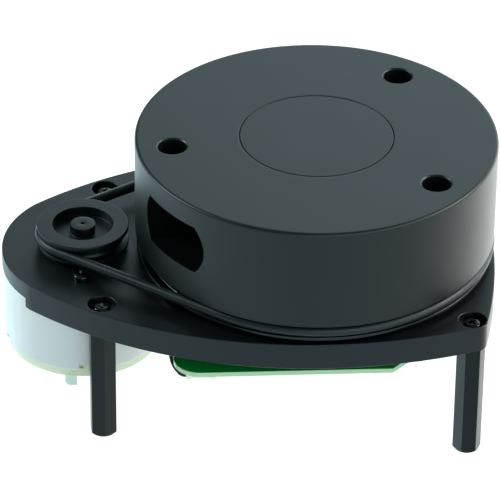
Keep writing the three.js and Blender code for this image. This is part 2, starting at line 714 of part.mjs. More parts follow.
function addBoard() {
  add(board, "main_board", "green_board", mainBoard());
  BOARD_BOSSES.forEach(({ x, y }, i) => {
    const screw = panScrew(0, -3.4, BOARD_SCREW_SHANK, 1.6).rotateX(Math.PI);
    add(chassis, `board_screw_${i + 1}`, "dark_steel", screw.translate(x, y, BOARD_BOTTOM));
  });
  add(board, "board_header", "white_plastic", boardHeader());
  add(board, "header_pins", "tinned", headerPins());
  add(board, "controller_chip", "chip",
    block([-6, 10, BOARD_BOTTOM - 1.2], [2, 18, BOARD_BOTTOM]));
  add(board, "power_inductor", "ferrite",
    block([-14, -18, BOARD_BOTTOM - 3], [-8, -12, BOARD_BOTTOM]));
  add(chassis, "lead_socket", "white_plastic", block(SOCKET.low, SOCKET.high));
  add(chassis, "motor_lead_black", "rubber", wire(BLACK_LEAD, LEAD_RADIUS, 34));
  add(chassis, "motor_lead_red", "red_wire", wire(RED_LEAD, LEAD_RADIUS, 24));
}

// ---------------------------------------------------------------- slip ring

const SLIP = { core: 4.9, ring: 5.8, collar: 5.8, bottom: 13.4 };
const SLIP_RING_HEIGHTS = [14.6, 16.5, 18.4];
const SLIP_RING_WIDTH = 1.3;
const BRUSH = { x: -6.4, width: 0.5, length: 5 };

// The slip ring's core hangs from the turret's hub and passes through the main board.
const slipCore = () =>
  turned([
    [0, SLIP.bottom],
    [SLIP.core, SLIP.bottom],
    [SLIP.core, 22.5],
    [SLIP.collar, 23],
    [SLIP.collar, DECK_FLOOR],
    [8, DECK_FLOOR],
    [8, DECK_FLOOR + 0.8],
    [0, DECK_FLOOR + 0.8],
  ], 18);

const slipRing = (bottom) =>
  tubeWall(SLIP.core + RUNNING_GAP, SLIP.ring, bottom, bottom + SLIP_RING_WIDTH, 18);

const BRUSH_BLOCK = { low: [-13, -3.4, 13.4], high: [-8.2, 3.4, BOARD_BOTTOM] };

function brushBlock() {
  const { low, high } = BRUSH_BLOCK;
  const slots = SLIP_RING_HEIGHTS.map((z) =>
    block([high[0] - 1.6, -2.7, z + 0.1], [high[0] + 1, 2.7, z + SLIP_RING_WIDTH - 0.1]));
  const riser = block([high[0] - 1.6, -0.5, low[2] + 0.8], [high[0] - 0.9, 0.5, high[2] - 0.8]);
  return cut(block(low, high), ...slots, riser);
}

// Three sprung fingers on one strip, each just short of its ring.
function brushFingers() {
  const back = BRUSH_BLOCK.high[0] - 1.45;
  const tip = BRUSH.x + BRUSH.width;
  const [lowest, , highest] = SLIP_RING_HEIGHTS;
  const strip = block([back, -0.35, lowest + 0.3], [back + 0.4, 0.35, highest + 1]);
  const fingers = SLIP_RING_HEIGHTS.map((z) =>
    join(
      block([back, -2.4, z + 0.3], [back + 0.4, 0.35, z + 1]),
      block([back, -2.4, z + 0.3], [tip, -1.9, z + 1]),
      block([BRUSH.x, -2.4, z + 0.3], [tip, -2.4 + BRUSH.length, z + 1]),
    ));
  return join(strip, ...fingers);
}

function addSlipRing() {
  add(turret, "slip_core", "black_plastic", slipCore());
  SLIP_RING_HEIGHTS.forEach((z, i) => add(turret, `slip_ring_${i + 1}`, "brass", slipRing(z)));
  add(chassis, "brush_block", "black_plastic", brushBlock());
  add(chassis, "brush_fingers", "brass", brushFingers());
}

// ---------------------------------------------------------------- turret

const HUB_RADIUS = BEARING_BORE - FIT_GAP;
const HUB_BORE = 6;
const HUB_BOTTOM = 24.3;
const CLIP = { bottom: 24.6, top: 25.15, inner: 9.35, outer: 11.2 };
const REGISTER_RADIUS = COVER_RADIUS - COVER_WALL - 0.2;
const POST_RADIUS = 3.2;
const COVER_SCREW_HEAD_SEAT = WELL_FLOOR + 1.4;
const COVER_SCREW_TIP = 38;

// The deck: bearing hub, floor and the grooved rim that the belt runs in.
function rotorDeck() {
  const groove = TURRET_PITCH - BELT_RADIUS - 0.3;
  const body = turnedRing([
    [HUB_BORE, HUB_BOTTOM],
    [HUB_RADIUS, HUB_BOTTOM],
    [HUB_RADIUS, CLIP.bottom - RUNNING_GAP],
    [CLIP.inner - 0.2, CLIP.bottom - RUNNING_GAP],
    [CLIP.inner - 0.2, CLIP.top + RUNNING_GAP],
    [HUB_RADIUS, CLIP.top + RUNNING_GAP],
    [HUB_RADIUS, BEARING_TOP],
    [INNER_RACE, BEARING_TOP],
    [INNER_RACE, DECK_UNDERSIDE],
    [32, DECK_UNDERSIDE],
    [32.3, 30.7],
    [DECK_RADIUS, 30.7],
    [DECK_RADIUS, 31.4],
    [groove, 31.5],
    [groove, 33.5],
    [DECK_RADIUS, 33.6],
    [DECK_RADIUS, COVER_BOTTOM],
    [REGISTER_RADIUS, COVER_BOTTOM],
    [REGISTER_RADIUS, COVER_BOTTOM + 1.2],
    [REGISTER_RADIUS - 1.2, COVER_BOTTOM + 1.2],
    [REGISTER_RADIUS - 1.2, DECK_FLOOR],
    [HUB_BORE, DECK_FLOOR],
  ], 36);
  const posts = COVER_SCREW_AZIMUTHS.map((azimuth) =>
    cylinder(POST_RADIUS, DECK_FLOOR - 1, WELL_FLOOR, 12)
      .translate(...polar(COVER_SCREW_RADIUS, azimuth), 0));
  const threads = COVER_SCREW_AZIMUTHS.map((azimuth) =>
    cylinder(SCREW_HOLE_RADIUS, COVER_SCREW_TIP - 0.5, WELL_FLOOR + 1, 8)
      .translate(...polar(COVER_SCREW_RADIUS, azimuth), 0));
  return cut(join(body, ...posts), ...threads);
}

// An open retaining clip in the hub's groove, under the bearing's inner ring.
function retainingClip() {
  const ring = tubeWall(CLIP.inner, CLIP.outer, CLIP.bottom, CLIP.top, 20);
  return cut(ring, block([4, -2, CLIP.bottom - 1], [14, 2, CLIP.top + 1]));
}

const WELL_WALL = 1;
const INNER_RADIUS = COVER_RADIUS - COVER_WALL;
const CEILING = COVER_TOP - 2.2;

// A window cut straight through the wall, along the direction that the optics look.
function windowTool({ width, height, corner }, y) {
  const opening = new THREE.ExtrudeGeometry(roundedRectangle(width, height, corner), {
    depth: 26,
    bevelEnabled: false,
    curveSegments: 3,
  });
  return opening
    .rotateX(Math.PI / 2)
    .rotateZ(Math.PI / 2)
    .translate(14, y, WINDOW_Z);
}

// The cover: a shallow cup over the optics, with a screw well at each post.
function rotorCover() {
  const edge = Array.from({ length: 4 }, (_, i) => {
    const angle = ((Math.PI / 2) * i) / 3;
    const [x, z] = [Math.cos(angle), Math.sin(angle)];
    return [COVER_RADIUS - COVER_EDGE + COVER_EDGE * x, COVER_TOP - COVER_EDGE + COVER_EDGE * z];
  });
  const cup = turned([
    [0, CEILING],
    [INNER_RADIUS, CEILING],
    [INNER_RADIUS, COVER_BOTTOM],
    [COVER_RADIUS, COVER_BOTTOM],
    ...edge,
    [0, COVER_TOP],
  ], 48);
  const places = COVER_SCREW_AZIMUTHS.map((azimuth) => polar(COVER_SCREW_RADIUS, azimuth));
  const wells = places.map(([x, y]) =>
    cylinder(WELL_RADIUS + WELL_WALL, WELL_FLOOR, COVER_TOP - 1, 14).translate(x, y, 0));
  const bores = places.flatMap(([x, y]) => [
    cylinder(WELL_RADIUS, COVER_SCREW_HEAD_SEAT, COVER_TOP + 1, 16).translate(x, y, 0),
    cylinder(SCREW_HOLE_RADIUS, WELL_FLOOR - 1, COVER_TOP, 8).translate(x, y, 0),
    countersink().translate(x, y, 0),
  ]);
  const recess = cylinder(DISC_RADIUS + FIT_GAP, COVER_TOP - DISC_THICKNESS, COVER_TOP + 1, 36);
  return cut(
    join(cup, ...wells),
    ...bores,
    recess,
    windowTool(RECEIVER_WINDOW, WINDOW_Y),
    windowTool(LASER_WINDOW, -WINDOW_Y),
  );
}

const WELL_CHAMFER = 0.35;

// The small chamfer at a screw well's mouth.
const countersink = () =>
  turned([
    [0, COVER_TOP - WELL_CHAMFER],
    [WELL_RADIUS, COVER_TOP - WELL_CHAMFER],
    [WELL_RADIUS + WELL_CHAMFER, COVER_TOP],
    [WELL_RADIUS + WELL_CHAMFER, COVER_TOP + 1],
    [0, COVER_TOP + 1],
  ], 16);

const centreDisc = () =>
  turned([
    [0, COVER_TOP - DISC_THICKNESS],
    [DISC_RADIUS, COVER_TOP - DISC_THICKNESS],
    [DISC_RADIUS, COVER_TOP],
    [0, COVER_TOP],
  ], 36);

const ENCODER = { inner: 25, outer: 29.5, toothInner: 27, toothOuter: 28.2, count: 15 };
const TOOTH_BOTTOM = 27.6;
const ENCODER_BOTTOM = 30.2;

// The encoder ring: teeth that hang into the plate's channel and pass the speed sensor.
// One tooth in the circle is narrower, which marks the zero direction.
function encoderRing() {
  const { inner, outer, toothInner, toothOuter, count } = ENCODER;
  const rim = tubeWall(inner, outer, ENCODER_BOTTOM, DECK_UNDERSIDE, 30);
  const teeth = ringOf(count, (i) => {
    const half = i === 0 ? 1.2 : 2.6;
    return block([toothInner, -half, TOOTH_BOTTOM], [toothOuter, half, ENCODER_BOTTOM + 0.3]);
  });
  return join(rim, ...teeth);
}

// A slotted optical switch, open upwards, that the encoder's teeth pass through.
function speedSensor() {
  const [back, front, width] = [24.2, 31.2, 3];
  const top = 29.9;
  const body = block([back, -width, CHANNEL.floor], [front, width, top]);
  const gap = block([26.2, -width - 1, CHANNEL.floor + 0.8], [29.1, width + 1, top + 1]);
  return cut(body, gap);
}

const ROTOR_BOARD = { bottom: 34.6, top: 35.6, radius: 31.2, bore: 9 };

function rotorBoard() {
  const { bore, radius, bottom, top } = ROTOR_BOARD;
  const disc = tubeWall(bore, radius, bottom, top, 30);
  const notches = COVER_SCREW_AZIMUTHS.map((azimuth) =>
    cylinder(POST_RADIUS + 0.4, bottom - 1, top + 1, 10)
      .translate(...polar(COVER_SCREW_RADIUS, azimuth), 0));
  return cut(disc, ...notches);
}

const BARREL = { radius: 5.8, bore: 4.6, back: 2, front: 18 };
const LASER = { radius: 4.4, bore: 3.1, back: 3, front: 19 };
const BRACKET_FOOT_TOP = 38;

// The optics bracket: one moulding with a cradle for the lens barrel and one for the laser.
function opticsBracket() {
  const foot = block([-12, -23, ROTOR_BOARD.top], [17, 23, BRACKET_FOOT_TOP]);
  const receiver = block([-1, WINDOW_Y - 7, BRACKET_FOOT_TOP - 1], [14, WINDOW_Y + 7, 51.4]);
  const laser = block([1, -WINDOW_Y - 6, BRACKET_FOOT_TOP - 1], [16, -WINDOW_Y + 6, 50.6]);
  const brace = block([-1, -WINDOW_Y, BRACKET_FOOT_TOP - 1], [3, WINDOW_Y, 42]);
  return cut(
    join(foot, receiver, laser, brace),
    barAlongX(BARREL.radius + FIT_GAP, -5, 20, WINDOW_Y, WINDOW_Z, 20),
    barAlongX(LASER.radius + FIT_GAP, -5, 20, -WINDOW_Y, WINDOW_Z, 20),
  );
}

// A stepped tube lying along X, wide from `back` to `front` and with a finer bore.
function barrelAlongX({ radius, bore, back, front }, y) {
  const lip = 0.5;
  return turnedRing([
    [bore, back],
    [radius, back],
    [radius, front - lip],
    [radius - lip, front],
    [bore, front],
  ], 20).rotateY(Math.PI / 2).translate(0, y, WINDOW_Z);
}

// A lens with two curved faces, lying along X about its middle.
function lensAlongX(radius, middle, y) {
  return turned([
    [0, middle - 1.6],
    [radius * 0.6, middle - 1.3],
    [radius, middle - 0.7],
    [radius, middle + 0.7],
    [radius * 0.6, middle + 1.3],
    [0, middle + 1.6],
  ], 16).rotateY(Math.PI / 2).translate(0, y, WINDOW_Z);
}

function addOptics() {
  const { top } = ROTOR_BOARD;
  add(turret, "rotor_board", "black_board", rotorBoard());
  add(turret, "optics_bracket", "black_plastic", opticsBracket());
  add(turret, "lens_barrel", "black_metal", barrelAlongX(BARREL, WINDOW_Y));
  add(turret, "receiver_lens", "glass",
    lensAlongX(BARREL.bore - 0.1, BARREL.front - 2.2, WINDOW_Y));
  add(turret, "laser_housing", "brass", barrelAlongX(LASER, -WINDOW_Y));
  add(turret, "laser_lens", "glass", lensAlongX(LASER.bore - 0.1, LASER.front - 2.2, -WINDOW_Y));
  add(turret, "sensor_board", "black_board",
    block([-2.6, WINDOW_Y - 7.5, BRACKET_FOOT_TOP], [-1.6, WINDOW_Y + 7.5, 51]));
  add(turret, "rotor_chip", "chip", block([-18, -5, top], [-12.6, 3, top + 1]));
}

function addTurret() {
  add(turret, "rotor_deck", "black_plastic", rotorDeck());
  add(turret, "bearing_inner_ring", "bearing_steel", bearingInnerRing());
  add(turret, "retaining_clip", "bearing_steel", retainingClip());
  add(turret, "encoder_ring", "black_plastic", encoderRing());
  add(turret, "rotor_cover", "black_plastic", rotorCover());
  add(turret, "centre_disc", "black_plastic", centreDisc());
  COVER_SCREW_AZIMUTHS.forEach((azimuth, i) => {
    const screw = panScrew(COVER_SCREW_HEAD_SEAT, COVER_SCREW_TIP);
    add(turret, `cover_screw_${i + 1}`, "dark_steel",
      screw.translate(...polar(COVER_SCREW_RADIUS, azimuth), 0));
  });
}

// ---------------------------------------------------------------- assembly

add(chassis, "base_plate", "black_plastic", basePlate());
addMotor();
add(chassis, "drive_belt", "rubber", driveBelt());
add(chassis, "bearing_outer_ring", "bearing_steel", bearingOuterRing());
add(chassis, "bearing_cage", "bearing_steel", bearingCage());
add(chassis, "speed_sensor", "chip", speedSensor());
addBoard();
addSlipRing();
addTurret();
addOptics();

export default scannerModule;
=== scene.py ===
import json
import math

import bmesh
import bpy
from mathutils import Matrix, Vector


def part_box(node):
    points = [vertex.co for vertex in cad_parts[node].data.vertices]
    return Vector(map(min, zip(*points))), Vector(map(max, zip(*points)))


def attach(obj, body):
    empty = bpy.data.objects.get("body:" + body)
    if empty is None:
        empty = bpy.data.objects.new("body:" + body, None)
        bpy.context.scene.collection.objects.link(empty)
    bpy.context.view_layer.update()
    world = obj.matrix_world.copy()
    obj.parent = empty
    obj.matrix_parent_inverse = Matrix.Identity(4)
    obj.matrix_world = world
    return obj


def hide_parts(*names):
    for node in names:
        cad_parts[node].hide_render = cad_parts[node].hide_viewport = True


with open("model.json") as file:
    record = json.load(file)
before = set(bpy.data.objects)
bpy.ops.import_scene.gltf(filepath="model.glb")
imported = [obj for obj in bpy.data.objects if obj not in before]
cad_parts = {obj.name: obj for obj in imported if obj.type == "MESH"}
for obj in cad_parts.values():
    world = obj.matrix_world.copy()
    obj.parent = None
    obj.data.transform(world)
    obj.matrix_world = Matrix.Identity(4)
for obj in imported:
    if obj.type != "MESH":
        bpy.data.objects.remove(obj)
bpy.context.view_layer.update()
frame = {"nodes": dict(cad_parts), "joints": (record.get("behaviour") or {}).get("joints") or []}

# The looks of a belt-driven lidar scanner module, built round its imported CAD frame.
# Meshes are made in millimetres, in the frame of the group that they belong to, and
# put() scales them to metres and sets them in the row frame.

MM = 0.001      # in metres
WELD = 0.001    # in millimetres: corners nearer than this become one after a boolean

# ---------------------------------------------------------------- the frame's own places

def box_mm(node):
    low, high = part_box(node)
    return low / MM, high / MM


def middle(node):
    low, high = box_mm(node)
    return (low + high) / 2


def levels(node):
    return [corner.z for corner in box_mm(node)]


def half_depth(node):
    low, high = box_mm(node)
    return (high.y - low.y) / 2


def joint_place(name):
    joint = next(j for j in frame["joints"] if j["name"] == name)
    return Vector(joint["pos_m"]) / MM


def azimuth_of(vector):
    return math.atan2(vector.y, vector.x)


TURRET_X = joint_place("drum_spin").x
MOTOR_X = joint_place("pulley_spin").x
TURRET_CENTRE = Vector((TURRET_X, 0, 0))
FRONT_WELL = middle("cover_screw_1") - TURRET_CENTRE
TURRET_TURN = azimuth_of(FRONT_WELL)
BOARD_TURN = math.radians(2.1)

CHASSIS = Matrix.Translation((TURRET_X, 0, 0))
TURRET = CHASSIS @ Matrix.Rotation(TURRET_TURN, 4, "Z")
BOARD = CHASSIS @ Matrix.Rotation(BOARD_TURN, 4, "Z")
MOTOR = Matrix.Translation((MOTOR_X, 0, 0))
ROW = Matrix.Identity(4)

PLATE_BOTTOM, PLATE_TOP = levels("standoff_1")[1], levels("base_plate")[1]
MOTOR_SEAT = 26.4
COVER_BOTTOM, COVER_TOP = levels("rotor_cover")
COVER_RADIUS = half_depth("rotor_cover")
BELT_Z = middle("drive_belt").z
CAN_BOTTOM, CAP_BOTTOM = levels("motor_can")[0], levels("motor_end_cap")[0]
CAN_RADIUS = half_depth("motor_can")
BOARD_BOTTOM, BOARD_TOP = levels("main_board")

# ---------------------------------------------------------------- mesh building

def mesh_of(vertices, faces):
    """A mesh with its faces turned to point out."""
    mesh = bpy.data.meshes.new("made")
    mesh.from_pydata([tuple(v) for v in vertices], [], faces)
    edit = bmesh.new()
    edit.from_mesh(mesh)
    bmesh.ops.remove_doubles(edit, verts=edit.verts, dist=1e-5)
    bmesh.ops.recalc_face_normals(edit, faces=edit.faces)
    edit.to_mesh(mesh)
    edit.free()
    return mesh


def lathe(profile, segments=96):
    """A solid of revolution about Z. The profile lists [radius, height] pairs, and either
    starts and ends on the axis or closes on itself."""
    vertices, faces, rings = [], [], []
    for radius, height in profile:
        start = len(vertices)
        if radius < 1e-9:
            vertices.append((0, 0, height))
            rings.append([start] * segments)
            continue
        for k in range(segments):
            angle = 2 * math.pi * k / segments
            vertices.append((radius * math.cos(angle), radius * math.sin(angle), height))
        rings.append(list(range(start, start + segments)))
    on_axis = profile[0][0] < 1e-9 and profile[-1][0] < 1e-9
    pairs = list(zip(rings, rings[1:]))
    if not on_axis:
        pairs.append((rings[-1], rings[0]))
    for low, high in pairs:
        for k in range(segments):
            n = (k + 1) % segments
            face = list(dict.fromkeys([low[k], low[n], high[n], high[k]]))
            if len(face) > 2:
                faces.append(face)
    return mesh_of(vertices, faces)


def rounded(points, radii, steps=4):
    """A profile with its corners rounded. radii gives one radius for each point, 0 for sharp,
    or a single number for all of them except the first and the last."""
    count = len(points)
    if not isinstance(radii, (list, tuple)):
        radii = [0] + [radii] * (count - 2) + [0]
    made = []
    for i, (point, radius) in enumerate(zip(points, radii)):
        if radius <= 0:
            made.append(tuple(point))
            continue
        here = Vector(point)
        back = Vector(points[i - 1]) - here
        ahead = Vector(points[(i + 1) % count]) - here
        angle = back.angle(ahead)
        reach = min(radius / math.tan(angle / 2), 0.49 * back.length, 0.49 * ahead.length)
        start = here + back.normalized() * reach
        end = here + ahead.normalized() * reach
        for k in range(steps + 1):
            t = k / steps
            made.append(tuple(start * (1 - t) ** 2 + here * 2 * t * (1 - t) + end * t ** 2))
    return made


def ring(profile, radii=0.15, steps=3):
    """A closed profile with every corner rounded, for lathe()."""
    if not isinstance(radii, (list, tuple)):
        radii = [radii] * len(profile)
    return rounded(profile, radii, steps)


def band(inner, outer, bottom, top):
    """The plain section of a ring, or of a disc when inner is 0."""
    return [(inner, bottom), (outer, bottom), (outer, top), (inner, top)]


def plain(radius, bottom, top, segments=48):
    """A plain upright cylinder."""
    return lathe(band(0, radius, bottom, top), segments)


def flared_hole(radius, bottom, top, flare=0.12, segments=48):
    """A cutter for a hole whose mouth at the top is slightly rounded."""
    mouth = []
    for k in range(5):
        angle = math.pi / 2 * k / 4
        mouth.append((radius + flare * (1 - math.cos(angle)), top - flare * (1 - math.sin(angle))))
    return lathe([(0, bottom), (radius, bottom), *mouth, (radius + flare, top + 1), (0, top + 1)],
                 segments)


def inset(outline, distance):
    """A counter-clockwise outline moved in by a distance."""
    count = len(outline)
    made = []
    for i, point in enumerate(outline):
        before = (Vector(point) - Vector(outline[i - 1])).normalized()
        after = (Vector(outline[(i + 1) % count]) - Vector(point)).normalized()
        inward_before = Vector((-before.y, before.x))
        inward_after = Vector((-after.y, after.x))
        bisector = inward_before + inward_after
        share = 2 / max(bisector.length_squared, 0.5)
        made.append(Vector(point) + bisector * share * distance)
    return made


def prism(outline, bottom, top, edge=0.0, steps=3):
    """An upright prism on a counter-clockwise outline, with its top and bottom edges rounded."""
    levels = [(bottom, 0.0)]
    if edge > 0:
        angles = [math.pi / 2 * k / steps for k in range(steps + 1)]
        levels = [(bottom + edge * (1 - math.cos(a)), edge * (1 - math.sin(a))) for a in angles]
    levels += [(bottom + top - height, shift) for height, shift in reversed(levels)]
    count = len(outline)
    vertices, faces = [], []
    for height, shift in levels:
        vertices += [(p[0], p[1], height) for p in (inset(outline, shift) if shift else outline)]
    for level in range(len(levels) - 1):
        for k in range(count):
            n = (k + 1) % count
            a, b = level * count, (level + 1) * count
            faces.append([a + k, a + n, b + n, b + k])
    faces.append(list(reversed(range(count))))
    faces.append(list(range((len(levels) - 1) * count, len(levels) * count)))
    return mesh_of(vertices, faces)


def arc(centre, radius, start, end, steps):
    """Points on an arc, angles in degrees."""
    angles = [math.radians(start + (end - start) * k / steps) for k in range(steps + 1)]
    return [Vector((centre[0] + radius * math.cos(a), centre[1] + radius * math.sin(a))) for a in angles]


def mirrored(outline):
    """The outline's other half, across the X axis."""
    return [Vector((p.x, -p.y)) for p in reversed(outline)]


def rectangle(width, depth, corner=0.0, steps=5):
    """A rectangle about the origin, with round corners."""
    x, y = width / 2, depth / 2
    if corner <= 0:
        return [Vector(p) for p in ((-x, -y), (x, -y), (x, y), (-x, y))]
    made = []
    for sx, sy, start in ((-1, -1, 180), (1, -1, 270), (1, 1, 0), (-1, 1, 90)):
        made += arc((sx * (x - corner), sy * (y - corner)), corner, start, start + 90, steps)
    return made


def brick(low, high, edge=0.15, corner=0.2):
    """A box between two corners, with rounded edges. A round corner keeps its edge radius smaller
    than its own, so that the outline never folds over itself."""
    size = [b - a for a, b in zip(low, high)]
    corner = min(corner, size[0] / 2.2, size[1] / 2.2)
    edge = min(edge, size[2] / 2.2, 0.8 * corner if corner > 0 else edge)
    outline = [p + Vector(((low[0] + high[0]) / 2, (low[1] + high[1]) / 2))
               for p in rectangle(size[0], size[1], corner, 3)]
    return prism(outline, low[2], high[2], edge, 2)


def turned_by(mesh, matrix):
    mesh.transform(matrix)
    if matrix.to_3x3().determinant() < 0:
        mesh.flip_normals()
    return mesh


def moved(mesh, x=0.0, y=0.0, z=0.0, turn=0.0):
    """The mesh turned about Z and then moved."""
    return turned_by(mesh, Matrix.Translation((x, y, z)) @ Matrix.Rotation(turn, 4, "Z"))


def at_each(places, make, *sizes):
    """One mesh from make(*sizes) at each place."""
    return [moved(make(*sizes), x, y) for x, y in places]


def along_x(mesh, y=0.0, z=0.0):
    """A mesh made about Z, laid along X with its +Z to +X."""
    return turned_by(mesh, Matrix.Translation((0, y, z)) @ Matrix.Rotation(math.pi / 2, 4, "Y"))


def merged(meshes):
    """Several meshes as one, left as separate shells."""
    edit = bmesh.new()
    for mesh in meshes:
        edit.from_mesh(mesh)
    made = bpy.data.meshes.new("merged")
    edit.to_mesh(made)
    edit.free()
    return made


def boolean(first, others, operation):
    """first cut by, or joined with, the other meshes, one after another."""
    holder = bpy.data.objects.new("holder", first)
    bpy.context.scene.collection.objects.link(holder)
    tools = []
    for mesh in others:
        tool = bpy.data.objects.new("tool", mesh)
        bpy.context.scene.collection.objects.link(tool)
        tools.append(tool)
        modifier = holder.modifiers.new("cut", "BOOLEAN")
        modifier.object = tool
        modifier.operation = operation
        modifier.solver = "EXACT"
    bpy.context.view_layer.update()
    graph = bpy.context.evaluated_depsgraph_get()
    made = bpy.data.meshes.new_from_object(holder.evaluated_get(graph))
    for item in [holder, *tools]:
        bpy.data.objects.remove(item)
    edit = bmesh.new()
    edit.from_mesh(made)
    bmesh.ops.remove_doubles(edit, verts=edit.verts, dist=WELD)
    bmesh.ops.dissolve_degenerate(edit, edges=edit.edges, dist=WELD)
    edit.to_mesh(made)
    edit.free()
    return made


def cut(first, *tools):
    return boolean(first, tools, "DIFFERENCE")


def join(first, *others):
    return boolean(first, others, "UNION")


def put(name, mesh, group, body, slot, material, *nodes, smooth=35):
    """The mesh as a piece of the object: it rides on a body and stands for the CAD nodes."""
    mesh.transform(Matrix.Scale(MM, 4) @ group)
    mesh.name = name
    mesh.materials.clear()
    mesh.materials.append(material)
    for polygon in mesh.polygons:
        polygon.use_smooth = True
        polygon.material_index = 0
    mesh.set_sharp_from_angle(angle=math.radians(smooth))
    piece = bpy.data.objects.new(name, mesh)
    bpy.context.scene.collection.objects.link(piece)
    weighted = piece.modifiers.new("even_shading", "WEIGHTED_NORMAL")
    weighted.keep_sharp = True
    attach(piece, body)
    if nodes:
        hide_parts(*nodes)
    return piece


def stand_in(node, mesh, group, body, slot, material, smooth=35):
    """The mesh in place of one CAD node, and named after it."""
    return put(f"{node}_fine", mesh, group, body, slot, material, node, smooth=smooth)


# ---------------------------------------------------------------- materials

NOISE_REACH = (0.3, 0.7)


def new_material(name):
    made = bpy.data.materials.new(name)
    made.use_nodes = True
    return made, made.node_tree


def set_inputs(tree, node, inputs):
    """Gives each input its value, or links it to another node's output."""
    for name, value in inputs.items():
        if isinstance(value, bpy.types.NodeSocket):
            tree.links.new(value, node.inputs[name])
        else:
            node.inputs[name].default_value = value


def add_node(tree, kind, inputs, **settings):
    made = tree.nodes.new(kind)
    for name, value in settings.items():
        setattr(made, name, value)
    set_inputs(tree, made, inputs)
    return made


def noise(tree, scale, detail=3.0, stretch=(1, 1, 1)):
    """Noise in the object's own space. The scale is in features per metre."""
    place = tree.nodes.new("ShaderNodeTexCoord").outputs["Object"]
    mapping = add_node(tree, "ShaderNodeMapping", {"Vector": place, "Scale": stretch})
    inputs = {"Vector": mapping.outputs["Vector"], "Scale": scale, "Detail": detail}
    return add_node(tree, "ShaderNodeTexNoise", inputs).outputs["Fac"]


def map_range(tree, value, start, end, low, high, kind="LINEAR"):
    """From low to high as the value goes from start to end."""
    inputs = {"Value": value, "From Min": start, "From Max": end, "To Min": low, "To Max": high}
    return add_node(tree, "ShaderNodeMapRange", inputs, interpolation_type=kind).outputs["Result"]


def mix_colors(tree, factor, first, second):
    return add_node(tree, "ShaderNodeMix", {0: factor, 6: first, 7: second}, data_type="RGBA").outputs[2]


def bump(tree, height, strength, distance=0.3 * MM):
    inputs = {"Strength": strength, "Distance": distance, "Height": height}
    return add_node(tree, "ShaderNodeBump", inputs).outputs["Normal"]


def surface(name, color, roughness, metallic=0.0, ior=1.45, grain=(2500, 0.04), tone=(120, 0.06),
            polish=(300, 0.04), stretch=(1, 1, 1), coat=0.0, transmission=0.0, subsurface=0.0):
    """A finish with fine grain in its bump, and slow changes in its tone and its polish.
    grain is features per metre and bump strength; tone and polish are features per metre
    and the share by which colour and roughness vary."""
    made, tree = new_material(name)
    dark, light = ([min(1.0, c * (1 + change)) for c in color] + [1] for change in (-tone[1], tone[1]))
    set_inputs(tree, tree.nodes["Principled BSDF"], {
        "Base Color": mix_colors(tree, noise(tree, tone[0], 4.0, stretch), dark, light),
        "Roughness": map_range(tree, noise(tree, polish[0], 3.0, stretch), *NOISE_REACH,
                               roughness * (1 - polish[1]), roughness * (1 + polish[1])),
        "Normal": bump(tree, noise(tree, grain[0], 4.0, stretch), grain[1]),
        "Metallic": metallic,
        "IOR": ior,
        "Coat Weight": coat,
        "Coat Roughness": 0.15,
        "Transmission Weight": transmission,
        "Subsurface Weight": subsurface,
    })
    return made


MOULDED = surface("moulded_black", (0.0004, 0.0014, 0.003), 0.42, ior=1.5,
                  grain=(3200, 0.05), tone=(90, 0.12), polish=(220, 0.08))
COVER_BLACK = surface("cover_black", (0.0008, 0.0024, 0.0026), 0.4, ior=1.5,
                      grain=(3600, 0.035), tone=(60, 0.08), polish=(160, 0.02))
DECK_BLACK = surface("deck_black", (0.0006, 0.0016, 0.0022), 0.2, ior=1.5,
                     grain=(3200, 0.04), tone=(90, 0.12), polish=(220, 0.1))
# Matt black for the sheet in the receiver's window: painted shade on the window's reveal.
MATT_SHADE_BLACK = surface("matt_shade_black", (0.0006, 0.0008, 0.0009), 0.9, ior=1.15, grain=(2600, 0.08))
INNER_BLACK = surface("inner_black", (0.0015, 0.0018, 0.002), 0.5, grain=(2600, 0.08))
BLACK_METAL = surface("black_plated", (0.001, 0.0024, 0.0024), 0.4, ior=1.38,
                      grain=(5000, 0.04), tone=(200, 0.12), polish=(400, 0.15), stretch=(1, 1, 0.1))
SCREW_BLACK = surface("black_oxide", (0.001, 0.0015, 0.0015), 0.13, ior=1.45,
                      grain=(2500, 0.05), tone=(600, 0.2), polish=(900, 0.25))
RUBBER = surface("belt_rubber", (0.0006, 0.003, 0.0045), 0.42, ior=1.5,
                 grain=(4200, 0.08), tone=(150, 0.15), polish=(260, 0.15))
ZINC = surface("zinc_plate", (0.62, 0.63, 0.62), 0.4, metallic=0.4,
               grain=(1800, 0.05), tone=(240, 0.03), polish=(500, 0.2), stretch=(1, 1, 0.25))
BEARING_STEEL = surface("bearing_steel", (0.6, 0.61, 0.62), 0.18, metallic=1.0,
                        grain=(3000, 0.04), tone=(300, 0.05), polish=(600, 0.2))
CAP_PLASTIC = surface("cap_moulding", (0.62, 0.72, 0.53), 0.42, ior=1.46, subsurface=0.1,
                      grain=(2600, 0.05), tone=(160, 0.05), polish=(300, 0.1))
# Tinned tab metal; the slight green in its colour is a painted reflection of the green board.
TAB_TIN_GREEN_REFLECTION = surface("tinned_tab_green_reflection", (0.72, 0.8, 0.70), 0.4, metallic=0.4,
                    grain=(2200, 0.06), tone=(500, 0.06), polish=(700, 0.2))
SOCKET = surface("socket_moulding", (0.82, 0.80, 0.73), 0.38, subsurface=0.1,
                 grain=(2600, 0.05), tone=(200, 0.04), polish=(300, 0.1))
CHIP = surface("chip_package", (0.012, 0.013, 0.014), 0.5, grain=(5000, 0.15), tone=(500, 0.15))
BLACK_MASK = surface("black_mask", (0.003, 0.004, 0.0035), 0.35, grain=(2500, 0.06), coat=0.2)
TINNED = surface("tin_plate", (0.68, 0.69, 0.68), 0.28, metallic=1.0,
                 grain=(2500, 0.1), tone=(600, 0.06), polish=(900, 0.25))
BRASS = surface("turned_brass", (0.66, 0.46, 0.17), 0.26, metallic=1.0,
                grain=(3000, 0.06), tone=(300, 0.08), polish=(600, 0.25), stretch=(0.2, 1, 1))
